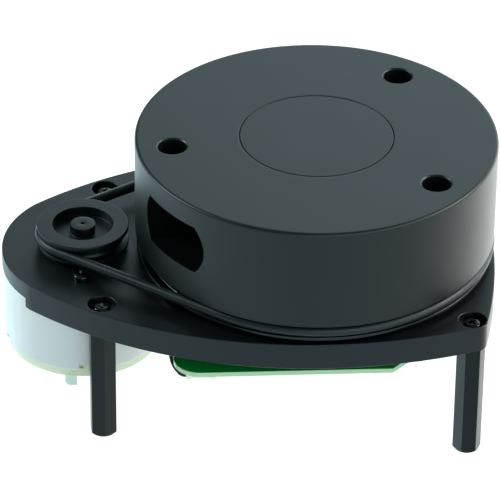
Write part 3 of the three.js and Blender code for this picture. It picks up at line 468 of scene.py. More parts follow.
COPPER = surface("enamelled_copper", (0.52, 0.2, 0.09), 0.3, metallic=1.0, grain=(3000, 0.1))
IRON = surface("sintered_iron", (0.045, 0.045, 0.048), 0.55, metallic=0.4, grain=(2200, 0.2))
CERAMIC = surface("ceramic", (0.45, 0.36, 0.25), 0.5, grain=(3000, 0.06))
LENS = surface("lens_glass", (0.55, 0.62, 0.72), 0.02, ior=1.6, transmission=0.9, coat=1.0,
               grain=(100, 0.0), tone=(100, 0.02), polish=(100, 0.1))
LEAD_BLACK = surface("lead_black", (0.008, 0.009, 0.01), 0.4, grain=(2500, 0.1))
LEAD_RED = surface("lead_red", (0.32, 0.018, 0.014), 0.4, grain=(2500, 0.1))


def board_finish(name, mask, bare):
    """Green solder mask over the weave of the laminate, with the cut edges left bare."""
    made, tree = new_material(name)
    place = tree.nodes.new("ShaderNodeTexCoord").outputs["Object"]
    warp, weft, gap = ((*[c * share for c in mask], 1) for share in (1, 0.86, 0.7))
    weave = add_node(tree, "ShaderNodeTexBrick", {"Vector": place, "Scale": 900, "Mortar Size": 0.03,
                                                  "Color1": warp, "Color2": weft, "Mortar": gap})
    normal = tree.nodes.new("ShaderNodeNewGeometry").outputs["Normal"]
    upright = add_node(tree, "ShaderNodeSeparateXYZ", {"Vector": normal}).outputs["Z"]
    level = add_node(tree, "ShaderNodeMath", {0: upright}, operation="ABSOLUTE")
    face = add_node(tree, "ShaderNodeMath", {0: level.outputs[0], 1: 0.5}, operation="GREATER_THAN")
    set_inputs(tree, tree.nodes["Principled BSDF"], {
        "Base Color": mix_colors(tree, face.outputs[0], (*bare, 1), weave.outputs["Color"]),
        "Roughness": 0.28,
        "Coat Weight": 0.4,
        "Normal": bump(tree, noise(tree, 2500), 0.1, 0.1 * MM),
    })
    return made


BOARD_GREEN = board_finish("solder_mask", (0.006, 0.42, 0.06), (0.36, 0.56, 0.33))
TRACK_GREEN = surface("masked_copper", (0.012, 0.33, 0.06), 0.25, coat=0.4, grain=(2500, 0.05))
PRINT_WHITE = surface("board_print", (0.75, 0.76, 0.74), 0.5, grain=(3000, 0.05))

# ---------------------------------------------------------------- the turret's cover

COVER_WALL = 2.0
COVER_EDGE = 0.9
WELL_CIRCLE = FRONT_WELL.to_2d().length
WELL_AZIMUTHS = [azimuth_of(middle(f"cover_screw_{i}") - TURRET_CENTRE) - TURRET_TURN for i in (1, 2, 3)]
WELL_PLACES = [(WELL_CIRCLE * math.cos(a), WELL_CIRCLE * math.sin(a)) for a in WELL_AZIMUTHS]
WELL_RADIUS = 2.8
WELL_FLOOR = 45.0
HEAD_SEAT = 46.4
DISC_RADIUS = half_depth("centre_disc")
DISC_BOTTOM = levels("centre_disc")[0]
WINDOW_Y, WINDOW_Z = 16.15, 45.3
WINDOW_RADIUS, WINDOW_HALF_HEIGHT = 8.0, 5.0


def round_window():
    """A circle with its top and bottom cut off flat, as (height, width) points."""
    reach = math.degrees(math.asin(WINDOW_HALF_HEIGHT / WINDOW_RADIUS))
    return (arc((0, 0), WINDOW_RADIUS, 90 - reach, 90 + reach, 20)
            + arc((0, 0), WINDOW_RADIUS, 270 - reach, 270 + reach, 20))


def window_bar(outline, y, start=14, end=40):
    return along_x(prism(outline, start, end), y, WINDOW_Z)


def window_shade_sheet():
    """A thin matt black sleeve inside the receiver's window, trimmed to the cover's outer face. It is a dark
    sheet over the window's reveal that paints the shade seen there.
    """
    outside = inset(round_window(), 0.02)
    bore = window_bar(inset(outside, 0.22), WINDOW_Y, 20, 42)
    sleeve = cut(window_bar(outside, WINDOW_Y, 22.2, 40), bore)
    return boolean(sleeve, [plain(COVER_RADIUS - 0.1, COVER_BOTTOM, COVER_TOP, 192)], "INTERSECT")


def rotor_cover():
    """A cup with a recess for the disc, three screw wells and the two windows."""
    inner = COVER_RADIUS - COVER_WALL
    ceiling = COVER_TOP - 2.2
    recess = DISC_RADIUS + 0.13
    cup = lathe(rounded([
        (0, ceiling), (inner, ceiling), (inner, COVER_BOTTOM), (COVER_RADIUS, COVER_BOTTOM),
        (COVER_RADIUS, COVER_TOP), (COVER_RADIUS - COVER_EDGE - 0.4, COVER_TOP),
        (WELL_CIRCLE + 4, COVER_TOP), (WELL_CIRCLE - 4, COVER_TOP), (recess + 0.8, COVER_TOP),
        (recess, COVER_TOP), (recess, DISC_BOTTOM), (0, DISC_BOTTOM),
    ], [0, 1.0, 0.15, 0.25, COVER_EDGE, 0, 0, 0, 0, 0.14, 0.03, 0], 8), 192)
    tubes = at_each(WELL_PLACES, plain, WELL_RADIUS + 1, WELL_FLOOR, COVER_TOP - 1)
    section = [
        (0, HEAD_SEAT), (WELL_RADIUS, HEAD_SEAT), (WELL_RADIUS, COVER_TOP - 0.24),
        (WELL_RADIUS + 0.06, COVER_TOP - 0.2), (WELL_RADIUS + 0.22, COVER_TOP - 0.04),
        (WELL_RADIUS + 0.28, COVER_TOP), (WELL_RADIUS + 0.28, COVER_TOP + 1), (0, COVER_TOP + 1),
    ]
    tools = []
    for well in WELL_PLACES:
        tools += at_each([well], lathe, section, 64)
        tools += at_each([well], plain, 1.2, WELL_FLOOR - 1, HEAD_SEAT + 1, 24)
    tools.append(window_bar(round_window(), WINDOW_Y))
    tools.append(window_bar(rectangle(10, 10, 4, 8), -WINDOW_Y))
    return cut(join(cup, *tubes), *tools)


def centre_disc():
    return lathe(rounded(band(0, DISC_RADIUS, DISC_BOTTOM, COVER_TOP), [0, 0.05, 0.16, 0], 4), 192)


# ---------------------------------------------------------------- the turret's deck

INNER_RACE = 11.2
BEARING_BOTTOM, BEARING_TOP = levels("bearing_inner_ring")
DECK_UNDERSIDE = 31.0
DECK_FLOOR = 33.6
DECK_RADIUS = 34.7
BELT_RADIUS = 1.0
TURRET_PITCH = half_depth("drive_belt") - BELT_RADIUS
PULLEY_PITCH = 8.4
POST_RADIUS = 3.2


def rotor_deck():
    """The hub in the bearing, the belt's groove in the rim, and a post under each cover screw."""
    groove = TURRET_PITCH - BELT_RADIUS - 0.05
    body = lathe(ring([
        (6, 24.3), (9.85, 24.3), (9.85, 24.55), (9.15, 24.55), (9.15, 25.2), (9.85, 25.2),
        (9.85, BEARING_TOP), (INNER_RACE, BEARING_TOP), (INNER_RACE, DECK_UNDERSIDE),
        (31.6, DECK_UNDERSIDE), (32, 30.7), (DECK_RADIUS, 30.7), (DECK_RADIUS, 31.35),
        (groove + 0.25, 31.6), (groove, 32.0), (groove, 33.0), (groove + 0.25, 33.4), (DECK_RADIUS, 33.62),
        (DECK_RADIUS, COVER_BOTTOM), (32.8, COVER_BOTTOM), (32.8, 35.3), (31.6, 35.3), (31.6, DECK_FLOOR),
        (6, DECK_FLOOR),
    ], 0.18, 3), 160)
    posts = at_each(WELL_PLACES, plain, POST_RADIUS, DECK_FLOOR - 1, WELL_FLOOR, 40)
    holes = at_each(WELL_PLACES, plain, 1.1, 37.5, 46, 20)
    grooves = []
    for k in range(12):
        cutter = brick((12.5, -0.5, DECK_UNDERSIDE - 0.5), (24, 0.5, DECK_UNDERSIDE + 0.4), 0.05, 0.1)
        grooves.append(moved(cutter, turn=2 * math.pi * (k + 0.5) / 12))
    return cut(join(body, *posts), *holes, *grooves)


# ---------------------------------------------------------------- belt and pulley

def belt():
    """A round rubber belt: its centre line is two arcs and their outer tangents."""
    distance = TURRET_X - MOTOR_X
    lead = math.degrees(math.acos((TURRET_PITCH - PULLEY_PITCH) / distance))
    line = arc((0, 0), TURRET_PITCH, lead - 180, 180 - lead, 150)
    line += arc((-distance, 0), PULLEY_PITCH, 180 - lead, 180 + lead, 40)
    around = 20
    vertices, faces = [], []
    count = len(line)
    for i, point in enumerate(line):
        ahead = (line[(i + 1) % count] - line[i - 1]).normalized()
        side = Vector((ahead.y, -ahead.x, 0))
        for k in range(around):
            angle = 2 * math.pi * k / around
            offset = side * math.cos(angle) + Vector((0, 0, 1)) * math.sin(angle)
            vertices.append(Vector((point.x, point.y, BELT_Z)) + offset * BELT_RADIUS)
    for i in range(count):
        for k in range(around):
            n, m = (i + 1) % count, (k + 1) % around
            faces.append([i * around + k, n * around + k, n * around + m, i * around + m])
    return mesh_of(vertices, faces)


def motor_pulley():
    """A grooved wheel with a dished top, on the motor's shaft."""
    low, top = levels("motor_pulley")
    flange = half_depth("motor_pulley")
    groove = PULLEY_PITCH - BELT_RADIUS
    floor = top - 1.9
    return lathe(ring([
        (1.03, low), (3.6, low), (3.6, 30.6), (flange, 30.6), (flange, 31.25), (groove + 0.3, 31.5),
        (groove, 31.95), (groove, 33.0), (groove + 0.3, 33.45), (flange, 33.72), (flange, top), (5.93, top),
        (5.93, floor), (2.43, floor), (2.43, top), (0.4, top), (0.4, top - 0.8), (1.03, top - 0.8),
    ], [0.05, 0.1, 0, 0.1, 0.12, 0.15, 0.2, 0.2, 0.15, 0.1, 0.16, 0.1, 0.12, 0.12, 0.1, 0.06, 0, 0], 3), 128)


# ---------------------------------------------------------------- base plate

NOSE_ARC = (-39.56, 0.0, 21.5)
MOTOR_SIDE_ARC = (-2.0, 46.33, 81.0)
TURRET_SIDE_ARC = (-2.0, 60.33, 95.0)
END_ARC = (-92.9, 0.0, 128.0)
CORNER = 2.6
STANDOFF_PLACES = [middle(f"standoff_{i}").to_2d() - TURRET_CENTRE.to_2d() for i in (1, 2, 3, 4)]
COUNTERBORE, SCREW_HOLE = 2.65, 1.15
SCREW_SEAT = PLATE_TOP - 1.8
BOSS_PLACES = [middle(f"board_screw_{i}").to_2d() - TURRET_CENTRE.to_2d() for i in (1, 2, 3)]


def circles_meet(a, b):
    """Where two circles meet, on the left of the line from a's centre to b's."""
    span = Vector((b[0] - a[0], b[1] - a[1]))
    distance = span.length
    along = (a[2] ** 2 - b[2] ** 2 + distance ** 2) / (2 * distance)
    off = math.sqrt(a[2] ** 2 - along ** 2)
    unit = span / distance
    return Vector((a[0] + unit.x * along - unit.y * off, a[1] + unit.y * along + unit.x * off))


def bearing_of(circle, point):
    return math.degrees(math.atan2(point.y - circle[1], point.x - circle[0])) % 360


def plate_outline(steps=40):
    corner = circles_meet(NOSE_ARC, MOTOR_SIDE_ARC)
    inner_side = (*TURRET_SIDE_ARC[:2], TURRET_SIDE_ARC[2] - CORNER)
    inner_end = (*END_ARC[:2], END_ARC[2] - CORNER)
    fillet = circles_meet(inner_side, inner_end)
    start, end = bearing_of(TURRET_SIDE_ARC, fillet), bearing_of(END_ARC, fillet)
    lower = arc(NOSE_ARC, NOSE_ARC[2], 180, bearing_of(NOSE_ARC, corner), steps)[:-1]
    lower += arc(MOTOR_SIDE_ARC, MOTOR_SIDE_ARC[2], bearing_of(MOTOR_SIDE_ARC, corner), 270, steps)[:-1]
    lower += arc(TURRET_SIDE_ARC, TURRET_SIDE_ARC[2], 270, start, steps)[:-1]
    lower += arc(fillet, CORNER, start, end, 10)[:-1]
    lower += arc(END_ARC, END_ARC[2], end, 360, steps // 2)
    return lower + mirrored(lower[1:-1])


def base_plate():
    """The plate with its bosses below, the motor's pocket, the bearing seat and the round moat."""
    body = prism(plate_outline(), PLATE_BOTTOM, PLATE_TOP, 0.22, 3)
    bosses = at_each(BOSS_PLACES, plain, 2.6, BOARD_TOP, PLATE_BOTTOM + 1, 32)
    motor = MOTOR_X - TURRET_X
    screw_places = [(motor, -MOTOR_SCREW_Y), (motor, MOTOR_SCREW_Y)]
    tools = [
        moved(plain(16, PLATE_BOTTOM - 1, MOTOR_SEAT, 120), motor),
        brick((-70, -25, PLATE_BOTTOM - 1), (-56.1, 25, MOTOR_SEAT), 0, 0),
        moved(flared_hole(4.8, PLATE_BOTTOM, PLATE_TOP), motor),
        flared_hole(13.6, BEARING_BOTTOM, PLATE_TOP, 0.2, 96),
        plain(12, PLATE_BOTTOM - 1, PLATE_TOP, 96),
        lathe(band(21.5, 31.5, 26.5, PLATE_TOP + 1), 128),
    ]
    for place in STANDOFF_PLACES:
        tools += at_each([place], flared_hole, COUNTERBORE, SCREW_SEAT, PLATE_TOP, 0.2, 64)
        tools += at_each([place], plain, SCREW_HOLE, PLATE_BOTTOM - 1, PLATE_TOP, 24)
    tools += at_each(screw_places, plain, SCREW_HOLE, PLATE_BOTTOM, PLATE_TOP + 1, 24)
    tools += at_each(BOSS_PLACES, plain, 0.8, BOARD_TOP - 1, PLATE_BOTTOM, 20)
    return cut(join(body, *bosses), *tools)


# ---------------------------------------------------------------- fasteners

def pan_head(seat, height, radius):
    """A low cylinder with a rounded rim and a slightly domed top."""
    top = seat + height
    return lathe(rounded([(0, seat), (radius, seat), (radius, top - 0.12), (radius * 0.6, top - 0.03),
                          (0, top)], [0, 0.05, 0.42, 0.3, 0], 5), 56)


def screw(seat, tip, shank=1.0, radius=1.6, height=1.3):
    """A pan-head machine screw: cross recess with tapered wings, and a real thread form."""
    head = pan_head(seat, height, radius)
    top = seat + height
    wings = []
    for turn in (0, math.pi / 2):
        outline = [Vector((-1.0, top + 0.3)), Vector((-0.45, top - 0.75)), Vector((0.45, top - 0.75)),
                   Vector((1.0, top + 0.3))]
        wing = prism(outline, -0.24, 0.24)
        wings.append(turned_by(wing, Matrix.Rotation(turn, 4, "Z") @ Matrix.Rotation(math.pi / 2, 4, "X")))
    pitch = 0.4
    turns = max(3, int((seat - tip - 0.6) / pitch))
    profile = [(0, tip), (shank * 0.7, tip)]
    for k in range(turns):
        low = tip + 0.25 + k * pitch
        profile += [(shank - 0.16, low), (shank, low + 0.16), (shank, low + 0.22)]
    profile += [(shank - 0.16, seat - 0.3), (shank - 0.1, seat + 0.2), (0, seat + 0.2)]
    return merged([cut(head, *wings), lathe(profile, 28)])


def add_screws():
    def add(node, made, group=ROW, body="base"):
        stand_in(node, made, group, body, "screw_steel", SCREW_BLACK)

    for i, place in enumerate(STANDOFF_PLACES, 1):
        node = f"standoff_screw_{i}"
        made = screw(SCREW_SEAT, box_mm(node)[0].z)
        add(node, moved(made, place.x, place.y, turn=0.5 + 1.1 * i), CHASSIS)
    for kind, count, seat, body, turn in (("motor_screw", 2, PLATE_TOP, "base", 0.35),
                                          ("cover_screw", 3, HEAD_SEAT, "rotor", 0.8)):
        for i in range(1, count + 1):
            node = f"{kind}_{i}"
            place = middle(node)
            made = screw(seat, box_mm(node)[0].z)
            add(node, moved(made, place.x, place.y, turn=turn * i), body=body)
    for i in (1, 2, 3):
        node = f"board_screw_{i}"
        place = middle(node)
        depth = box_mm(node)[1].z - BOARD_BOTTOM
        made = turned_by(screw(0, -depth, 0.75), Matrix.Rotation(math.pi, 4, "X"))
        add(node, moved(made, place.x, place.y, BOARD_BOTTOM, turn=0.6 * i))


STANDOFF_AZIMUTHS = (-82.4, -20, -54.3, 10)
STANDOFF_FLATS = 4.8


def threaded_bore(radius, low, high, pitch=0.4):
    """A cutter for a tapped hole, open at its high end, with the thread's ridges."""
    profile = [(0, low), (radius, low)]
    count = int((high - low - 0.5) / pitch)
    for k in range(count):
        start = low + 0.2 + k * pitch
        profile += [(radius, start), (radius + 0.14, start + 0.2), (radius, start + 0.36)]
    profile += [(radius, high - 0.3), (radius + 0.35, high), (radius + 0.35, high + 1), (0, high + 1)]
    return lathe(profile, 32)


def standoff(azimuth):
    """A hexagon standoff: turned chamfers on both ends and a tapped hole in each."""
    corner = STANDOFF_FLATS / math.sqrt(3)
    angles = [math.radians(azimuth + 60 * k) for k in range(6)]
    hexagon = [tuple(Vector((corner * math.cos(a), corner * math.sin(a)))) for a in angles]
    bar = prism([Vector(p) for p in ring(hexagon, 0.12)], 0, PLATE_BOTTOM)
    envelope = lathe(rounded([(0, 0), (corner - 0.5, 0), (corner, 0.42), (corner + 0.3, 0.6),
                              (corner + 0.3, PLATE_BOTTOM - 0.6), (corner, PLATE_BOTTOM - 0.3),
                              (corner - 0.35, PLATE_BOTTOM), (0, PLATE_BOTTOM)], 0, 2), 72)
    shaped = boolean(bar, [envelope], "INTERSECT")
    foot = turned_by(threaded_bore(1.05, -7, 0), Matrix.Scale(-1, 4, (0, 0, 1)))
    head = threaded_bore(1.05, PLATE_BOTTOM - 7, PLATE_BOTTOM)
    return cut(shaped, foot, head)


def add_standoffs():
    for i, (place, azimuth) in enumerate(zip(STANDOFF_PLACES, STANDOFF_AZIMUTHS), 1):
        made = moved(standoff(azimuth), place.x, place.y)
        stand_in(f"standoff_{i}", made, CHASSIS, "base", "black_metal", BLACK_METAL, 25)


# ---------------------------------------------------------------- motor

CAN_WALL = 1.0
CAN_INNER = CAN_RADIUS - CAN_WALL
CAP_RADIUS = 15.0
BOSS_TOP = 28.4
MOTOR_SCREW_Y = 12.0
NOTCH_AZIMUTHS = [-87.8 + 72 * k for k in range(5)]


def motor_can():
    """A deep-drawn steel can: a rounded top edge, a rolled edge at the mouth, and notches in
    it where the end cap can be keyed."""
    ceiling = MOTOR_SEAT - 1.2
    shell = lathe(ring([
        (2.65, ceiling), (CAN_INNER, ceiling), (CAN_INNER, CAN_BOTTOM), (CAN_RADIUS, CAN_BOTTOM),
        (CAN_RADIUS, MOTOR_SEAT), (4.5, MOTOR_SEAT), (4.5, BOSS_TOP), (2.65, BOSS_TOP),
    ], [0.1, 0.5, 0.1, 0.45, 0.9, 0.3, 0.2, 0.1], 5), 160)
    tools = []
    for azimuth in NOTCH_AZIMUTHS:
        notch = brick((CAN_INNER - 1, -1.3, CAN_BOTTOM - 1), (CAN_RADIUS + 1, 1.3, CAN_BOTTOM + 1.2), 0, 0.1)
        tools.append(moved(notch, turn=math.radians(azimuth)))
    screw_places = [(0, -MOTOR_SCREW_Y), (0, MOTOR_SCREW_Y)]
    tools += at_each(screw_places, plain, SCREW_HOLE, ceiling - 1, MOTOR_SEAT + 1, 24)
    return cut(shell, *tools)


def motor_end_cap():
    """A moulded cap with a raised rim, a bearing boss, brush housings and ribs underneath."""
    body = lathe(rounded([
        (0, CAP_BOTTOM + 0.5), (2.4, CAP_BOTTOM + 0.5), (2.4, CAP_BOTTOM + 0.02), (3.6, CAP_BOTTOM + 0.02),
        (3.6, CAP_BOTTOM + 0.7), (13.2, CAP_BOTTOM + 0.7), (13.6, CAP_BOTTOM), (CAP_RADIUS, CAP_BOTTOM),
        (CAP_RADIUS, CAN_BOTTOM), (14.55, CAN_BOTTOM), (14.55, 12.2), (11.8, 12.2), (11.8, CAN_BOTTOM),
        (0, CAN_BOTTOM),
    ], [0, 0.1, 0.1, 0.15, 0.1, 0.1, 0.2, 0.45, 0, 0, 0.1, 0.1, 0, 0], 3), 120)
    key = brick((0.15, -CAN_RADIUS + 0.3, CAN_BOTTOM - 0.6),
                (1.75, -CAN_INNER + 0.5, CAN_BOTTOM + 1.05), 0.1, 0.1)
    ribs = []
    for k in range(4):
        rib = brick((3.4, -0.4, CAP_BOTTOM + 0.1), (13.4, 0.4, CAP_BOTTOM + 1.0), 0.08, 0.1)
        ribs.append(moved(rib, turn=math.radians(45 + 90 * k)))
    housings = [moved(brick((-2.2, 6.2, CAP_BOTTOM + 0.05), (2.2, 11.6, CAP_BOTTOM + 1.2), 0.15, 0.5), turn=t)
                for t in (0, math.pi)]
    slots = []
    for i in (1, 2):
        low, high = (corner - Vector((MOTOR_X, 0, 0)) for corner in box_mm(f"motor_terminal_{i}"))
        slots.append(brick(low - Vector((0.04, 0.04, 1)), high + Vector((0.04, 0.04, 0.04)), 0, 0))
    bearing = plain(1.05, CAP_BOTTOM + 0.3, CAN_BOTTOM + 1, 32)
    return cut(join(body, key, *ribs, *housings), bearing, *slots)


def terminal(node):
    """A stamped tab with one rounded corner."""
    low, high = box_mm(node)
    width, height = high.x - low.x, high.z - low.z
    corner = 1.1
    outline = arc((corner, corner), corner, 180, 270, 8)
    outline += [Vector(p) for p in ((width - 0.15, 0), (width, 0.15), (width, height), (0, height))]
    if low.y > 0:
        outline = [Vector((width - p.x, p.y)) for p in reversed(outline)]
    plate = prism(outline, 0, high.y - low.y, 0.06, 2)
    stand = Matrix.Translation((low.x, high.y, low.z)) @ Matrix.Rotation(math.pi / 2, 4, "X")
    return turned_by(plate, stand)


# ---------------------------------------------------------------- main board

BOARD_LEFT, BOARD_RIGHT, BOARD_FRONT = -28.5, 21.2, -30.45
BOARD_CORNER, BOARD_CHAMFER = 5.0, 8.0
VIA_RADIUS, VIA_PAD = 0.22, 0.42
PAD_THICKNESS = 0.035


def board_outline():
    x, y = BOARD_LEFT + BOARD_CORNER, BOARD_FRONT + BOARD_CORNER
    lower = arc((x, y), BOARD_CORNER, 180, 270, 12)
    lower += [Vector((BOARD_RIGHT - BOARD_CHAMFER, BOARD_FRONT)),
              Vector((BOARD_RIGHT, BOARD_FRONT + BOARD_CHAMFER))]
    return lower + mirrored(lower)


def boss_spots():
    """The bosses' places in the board's own turned frame."""
    return [Matrix.Rotation(-BOARD_TURN, 2) @ place for place in BOSS_PLACES]


def main_board():
    """The bare board, with its openings for the slip ring, the screws and the vias."""
    blank = prism(board_outline(), BOARD_BOTTOM, BOARD_TOP, 0.06, 2)
    through = (BOARD_BOTTOM - 1, BOARD_TOP + 1)
    holes = [plain(7, *through, 64)]
    holes += at_each(boss_spots(), plain, 0.9, *through, 24)
    holes += at_each(via_places(), plain, VIA_RADIUS, *through, 8)
    return cut(blank, merged(holes))


def via_places():
    """Small plated holes scattered over the board by a fixed rule."""
    places = []
    for k in range(26):
        angle = 2.4 * k
        radius = 9.5 + 0.72 * k
        x, y = radius * math.cos(angle), radius * math.sin(angle)
        if BOARD_LEFT + 2 < x < 14 and abs(y) < 28:
            places.append((x, y))
    return places


def pads(places, inner, outer, bottom):
    return at_each(places, lathe, band(inner, outer, bottom, bottom + PAD_THICKNESS), 20)


def on_board(name, mesh, slot, material, *nodes):
    put(name, mesh, BOARD, "base", slot, material, *nodes)


def add_board():
    stand_in("main_board", main_board(), BOARD, "base", "board_green", BOARD_GREEN, 25)
    rings = []
    for via in via_places():
        rings += pads([via], VIA_RADIUS, VIA_PAD, BOARD_BOTTOM - PAD_THICKNESS)
        rings += pads([via], VIA_RADIUS, VIA_PAD, BOARD_TOP)
    rings += pads(boss_spots(), 0.9, 2.2, BOARD_BOTTOM - PAD_THICKNESS)
    on_board("board_pads", merged(rings), "tinned", TINNED)
    on_board("board_tracks", merged(tracks()), "board_green", TRACK_GREEN)
    on_board("board_print", merged(print_lines()), "socket_plastic", PRINT_WHITE)


def strip(points, width, z, thick):
    """A thin flat strip along a path of points, for a copper track or a printed line."""
    made = []
    for a, b in zip(points, points[1:]):
        a, b = Vector(a), Vector(b)
        side = (b - a).normalized() * width / 2
        across = Vector((-side.y, side.x))
        outline = [a - side - across, b + side - across, b + side + across, a - side + across]
        low, high = sorted((z, z + thick))
        made.append(prism(outline, low, high))
    return made


def tracks():
    """Copper tracks under the solder mask, on the board's underside and its top."""
    made = []
    z = BOARD_BOTTOM
    for k in range(6):
        y = -13 + 1.1 * k
        path = [(14.5, y), (9 - 0.6 * k, y), (5 - 0.6 * k, y + 3.4), (4.6 - 0.6 * k, 8.6)]
        made += strip(path, 0.35, z, -0.02)
    for k in range(5):
        x = -26 + 1.0 * k
        made += strip([(x, -20 + k), (x, 12 - k), (x + 5, 17 - k), (-7, 17 - k)], 0.3, z, -0.02)
    for k in range(4):
        made += strip([(-11 + k, -11.5), (-11 + k, -9), (-9 + k, -7)], 0.5, z, -0.02)
    for k in range(7):
        y = -27.5 + 1.0 * k
        made += strip([(-18 + k, y), (8, y), (13 + 0.3 * k, y + 5)], 0.3, BOARD_TOP, 0.02)
    return made


def print_lines():
    """Printed outlines round the components, with no lettering."""
    made = []
    for left, front, right, back in ((-7, 9, 3, 19), (-15, -19, -7, -11), (-25, 2, -19, 9),
                                     (5, -27, 12, -22)):
        corners = [*band(left, right, front, back), (left, front)]
        made += strip(corners, 0.15, BOARD_BOTTOM, -0.015)
    return made


def gull_leads(count, pitch, reach, z, width=0.22):
    """A row of bent leads along X, on the side of a chip, hanging under the board."""
    made = []
    for k in range(count):
        x = (k - (count - 1) / 2) * pitch
        for near, far, deep, shallow in ((-0.15, 0.25, 0.6, 0.45), (0.2, 0.35, 0.58, 0.05),
                                         (0.22, 0.85, 0.13, 0.01)):
            made.append(brick((x - width / 2, reach + near, z - deep),
                              (x + width / 2, reach + far, z - shallow), 0.03, 0.03))
    return made


def chip_package(centre, size, height, per_side, pitch):
    """A flat package with a chamfered body, a dot by its first lead and gull-wing leads."""
    z = BOARD_BOTTOM
    half = size / 2
    outline = rectangle(size, size, 0.3, 2)
    body = prism(outline, z - height, z - 0.1, 0.18, 2)
    dot = moved(plain(0.35, z - height - 1, z - height + 0.08, 20), -half + 1, half - 1)
    body = cut(body, dot)
    leads = []
    for side in range(4):
        leads += [moved(m, turn=side * math.pi / 2) for m in gull_leads(per_side, pitch, half, z)]
    return moved(body, *centre), moved(merged(leads), *centre)


def passive(x, y, turn, length=1.6, width=0.8, height=0.5):
    """A ceramic chip part with its two soldered ends, under the board."""
    z = BOARD_BOTTOM
    body = brick((-length / 2 + 0.25, -width / 2, z - height),
                 (length / 2 - 0.25, width / 2, z - 0.02), 0.04, 0.05)
    ends = [brick((s * length / 2 - (0.3 if s > 0 else 0), -width / 2 - 0.02, z - height - 0.02),
                  (s * length / 2 + (0 if s > 0 else 0.3), width / 2 + 0.02, z), 0.05, 0.06) for s in (-1, 1)]
    return moved(body, x, y, turn=turn), [moved(e, x, y, turn=turn) for e in ends]


def passives():
    """Rows of small parts round the chip, the supply and the header."""
    places = []
    for k in range(6):
        places.append((-8.5 + 2.3 * k, 21.2, math.pi / 2))
        places.append((-8.5 + 2.3 * k, 6.6, math.pi / 2))
    for k in range(5):
        places.append((12.2, -14 + 2.4 * k, 0))
        places.append((-17.8, -20 + 2.2 * k, 0))
    for k in range(4):
        places.append((-22 + 1.8 * k, 12, math.pi / 2))
        places.append((2 + 2.0 * k, -20.5, math.pi / 2))
    return places


def add_components():
    z = BOARD_BOTTOM
    body, leads = chip_package((-2, 14), 7.6, z - levels("controller_chip")[0], 11, 0.55)
    on_board("controller_chip_fine", body, "chip_black", CHIP, "controller_chip")
    on_board("controller_chip_leads", leads, "tinned", TINNED)
    small, small_leads = chip_package((-22, 5.4), 3.6, 0.95, 5, 0.55)
    on_board("driver_chip", small, "chip_black", CHIP)
    on_board("driver_chip_leads", small_leads, "tinned", TINNED)
    bodies, ends = [], []
    for x, y, turn in passives():
        body, caps = passive(x, y, turn)
        bodies.append(body)
        ends += caps
    on_board("small_parts", merged(bodies), "socket_plastic", CERAMIC)
    on_board("small_part_ends", merged(ends), "tinned", TINNED)
    crystal = brick((5.2, 9.6, z - 0.9), (8.4, 12.1, z - 0.02), 0.12, 0.4)
    on_board("crystal_can", crystal, "tinned", TINNED)
    add_inductor()
    add_electrolytic()


def add_inductor():
    """A drum core with its winding, on a square base under the board."""
    z = BOARD_BOTTOM
    depth = z - levels("power_inductor")[0]
    core = lathe(ring([(0.9, z - depth), (2.7, z - depth), (2.7, z - depth + 0.6), (2.0, z - depth + 0.7),
                       (2.0, z - 0.8), (2.7, z - 0.7), (2.7, z - 0.25), (0.9, z - 0.25)], 0.06, 2), 48)
    base = brick((-14, -18, z - 0.35), (-8, -12, z - 0.02), 0.05, 0.8)
    on_board("inductor_core", merged([moved(core, -11, -15), base]), "iron_grey", IRON, "power_inductor")
    wire = []
    for k in range(9):
        height = z - depth + 0.78 + 0.16 * k
        wire.append(moved(lathe(ring(band(2.0, 2.35, height, height + 0.15), 0.05, 2), 40), -11, -15))
    on_board("inductor_wire", merged(wire), "copper", COPPER)


def add_electrolytic():
    """A small can capacitor on its square foot, under the board."""
    z = BOARD_BOTTOM
    foot = brick((-2.2, -2.2, z - 0.6), (2.2, 2.2, z - 0.02), 0.05, 0.6)
    can = lathe(rounded([(0, z - 3.6), (1.9, z - 3.6), (1.9, z - 1.2), (1.75, z - 1.05), (1.9, z - 0.9),
                         (1.9, z - 0.6), (0, z - 0.6)], [0, 0.3, 0.1, 0.1, 0.1, 0, 0], 4), 48)
    cross = [moved(brick((-1.3, -0.06, z - 4), (1.3, 0.06, z - 3.52), 0, 0), turn=t) for t in (0.3, 1.87)]
    on_board("capacitor_can", moved(cut(can, *cross), 4.5, -14.5), "can_steel", ZINC)
    on_board("capacitor_foot", moved(foot, 4.5, -14.5), "chip_black", CHIP)


# ---------------------------------------------------------------- connectors and leads

HEADER_X, HEADER_Y = 17.6, -7.0
HEADER_WIDTH, HEADER_LENGTH = 5.8, 20.0
HEADER_FLOOR = 17.0
PIN_COUNT, PIN_PITCH = 7, 2.54


def board_header():
    """A shrouded header with a polarising slot, chamfered mouth and finger ribs."""
    low = levels("board_header")[0]
    x, y, w, l = HEADER_X, HEADER_Y, HEADER_WIDTH / 2, HEADER_LENGTH / 2
    body = brick((x - w, y - l, low), (x + w, y + l, BOARD_BOTTOM), 0.15, 0.3)
    socket = brick((x - w + 0.8, y - l + 0.8, low - 1), (x + w - 0.8, y + l - 0.8, HEADER_FLOOR), 0, 0.2)
    slot = brick((x + w - 1.5, y - 2, low - 1), (x + w + 1, y + 2, HEADER_FLOOR - 1), 0, 0.1)
    notches = [brick((x - w - 0.5, y + s * 6 - 0.7, low - 1),
                     (x - w + 1.2, y + s * 6 + 0.7, HEADER_FLOOR - 2), 0, 0.1) for s in (-1, 1)]
    comb = brick((x - 0.38, y - l + 1.5, HEADER_FLOOR - 1), (x + 0.38, y + l - 1.5, BOARD_BOTTOM + 1), 0, 0)
    return cut(body, socket, slot, comb, *notches)


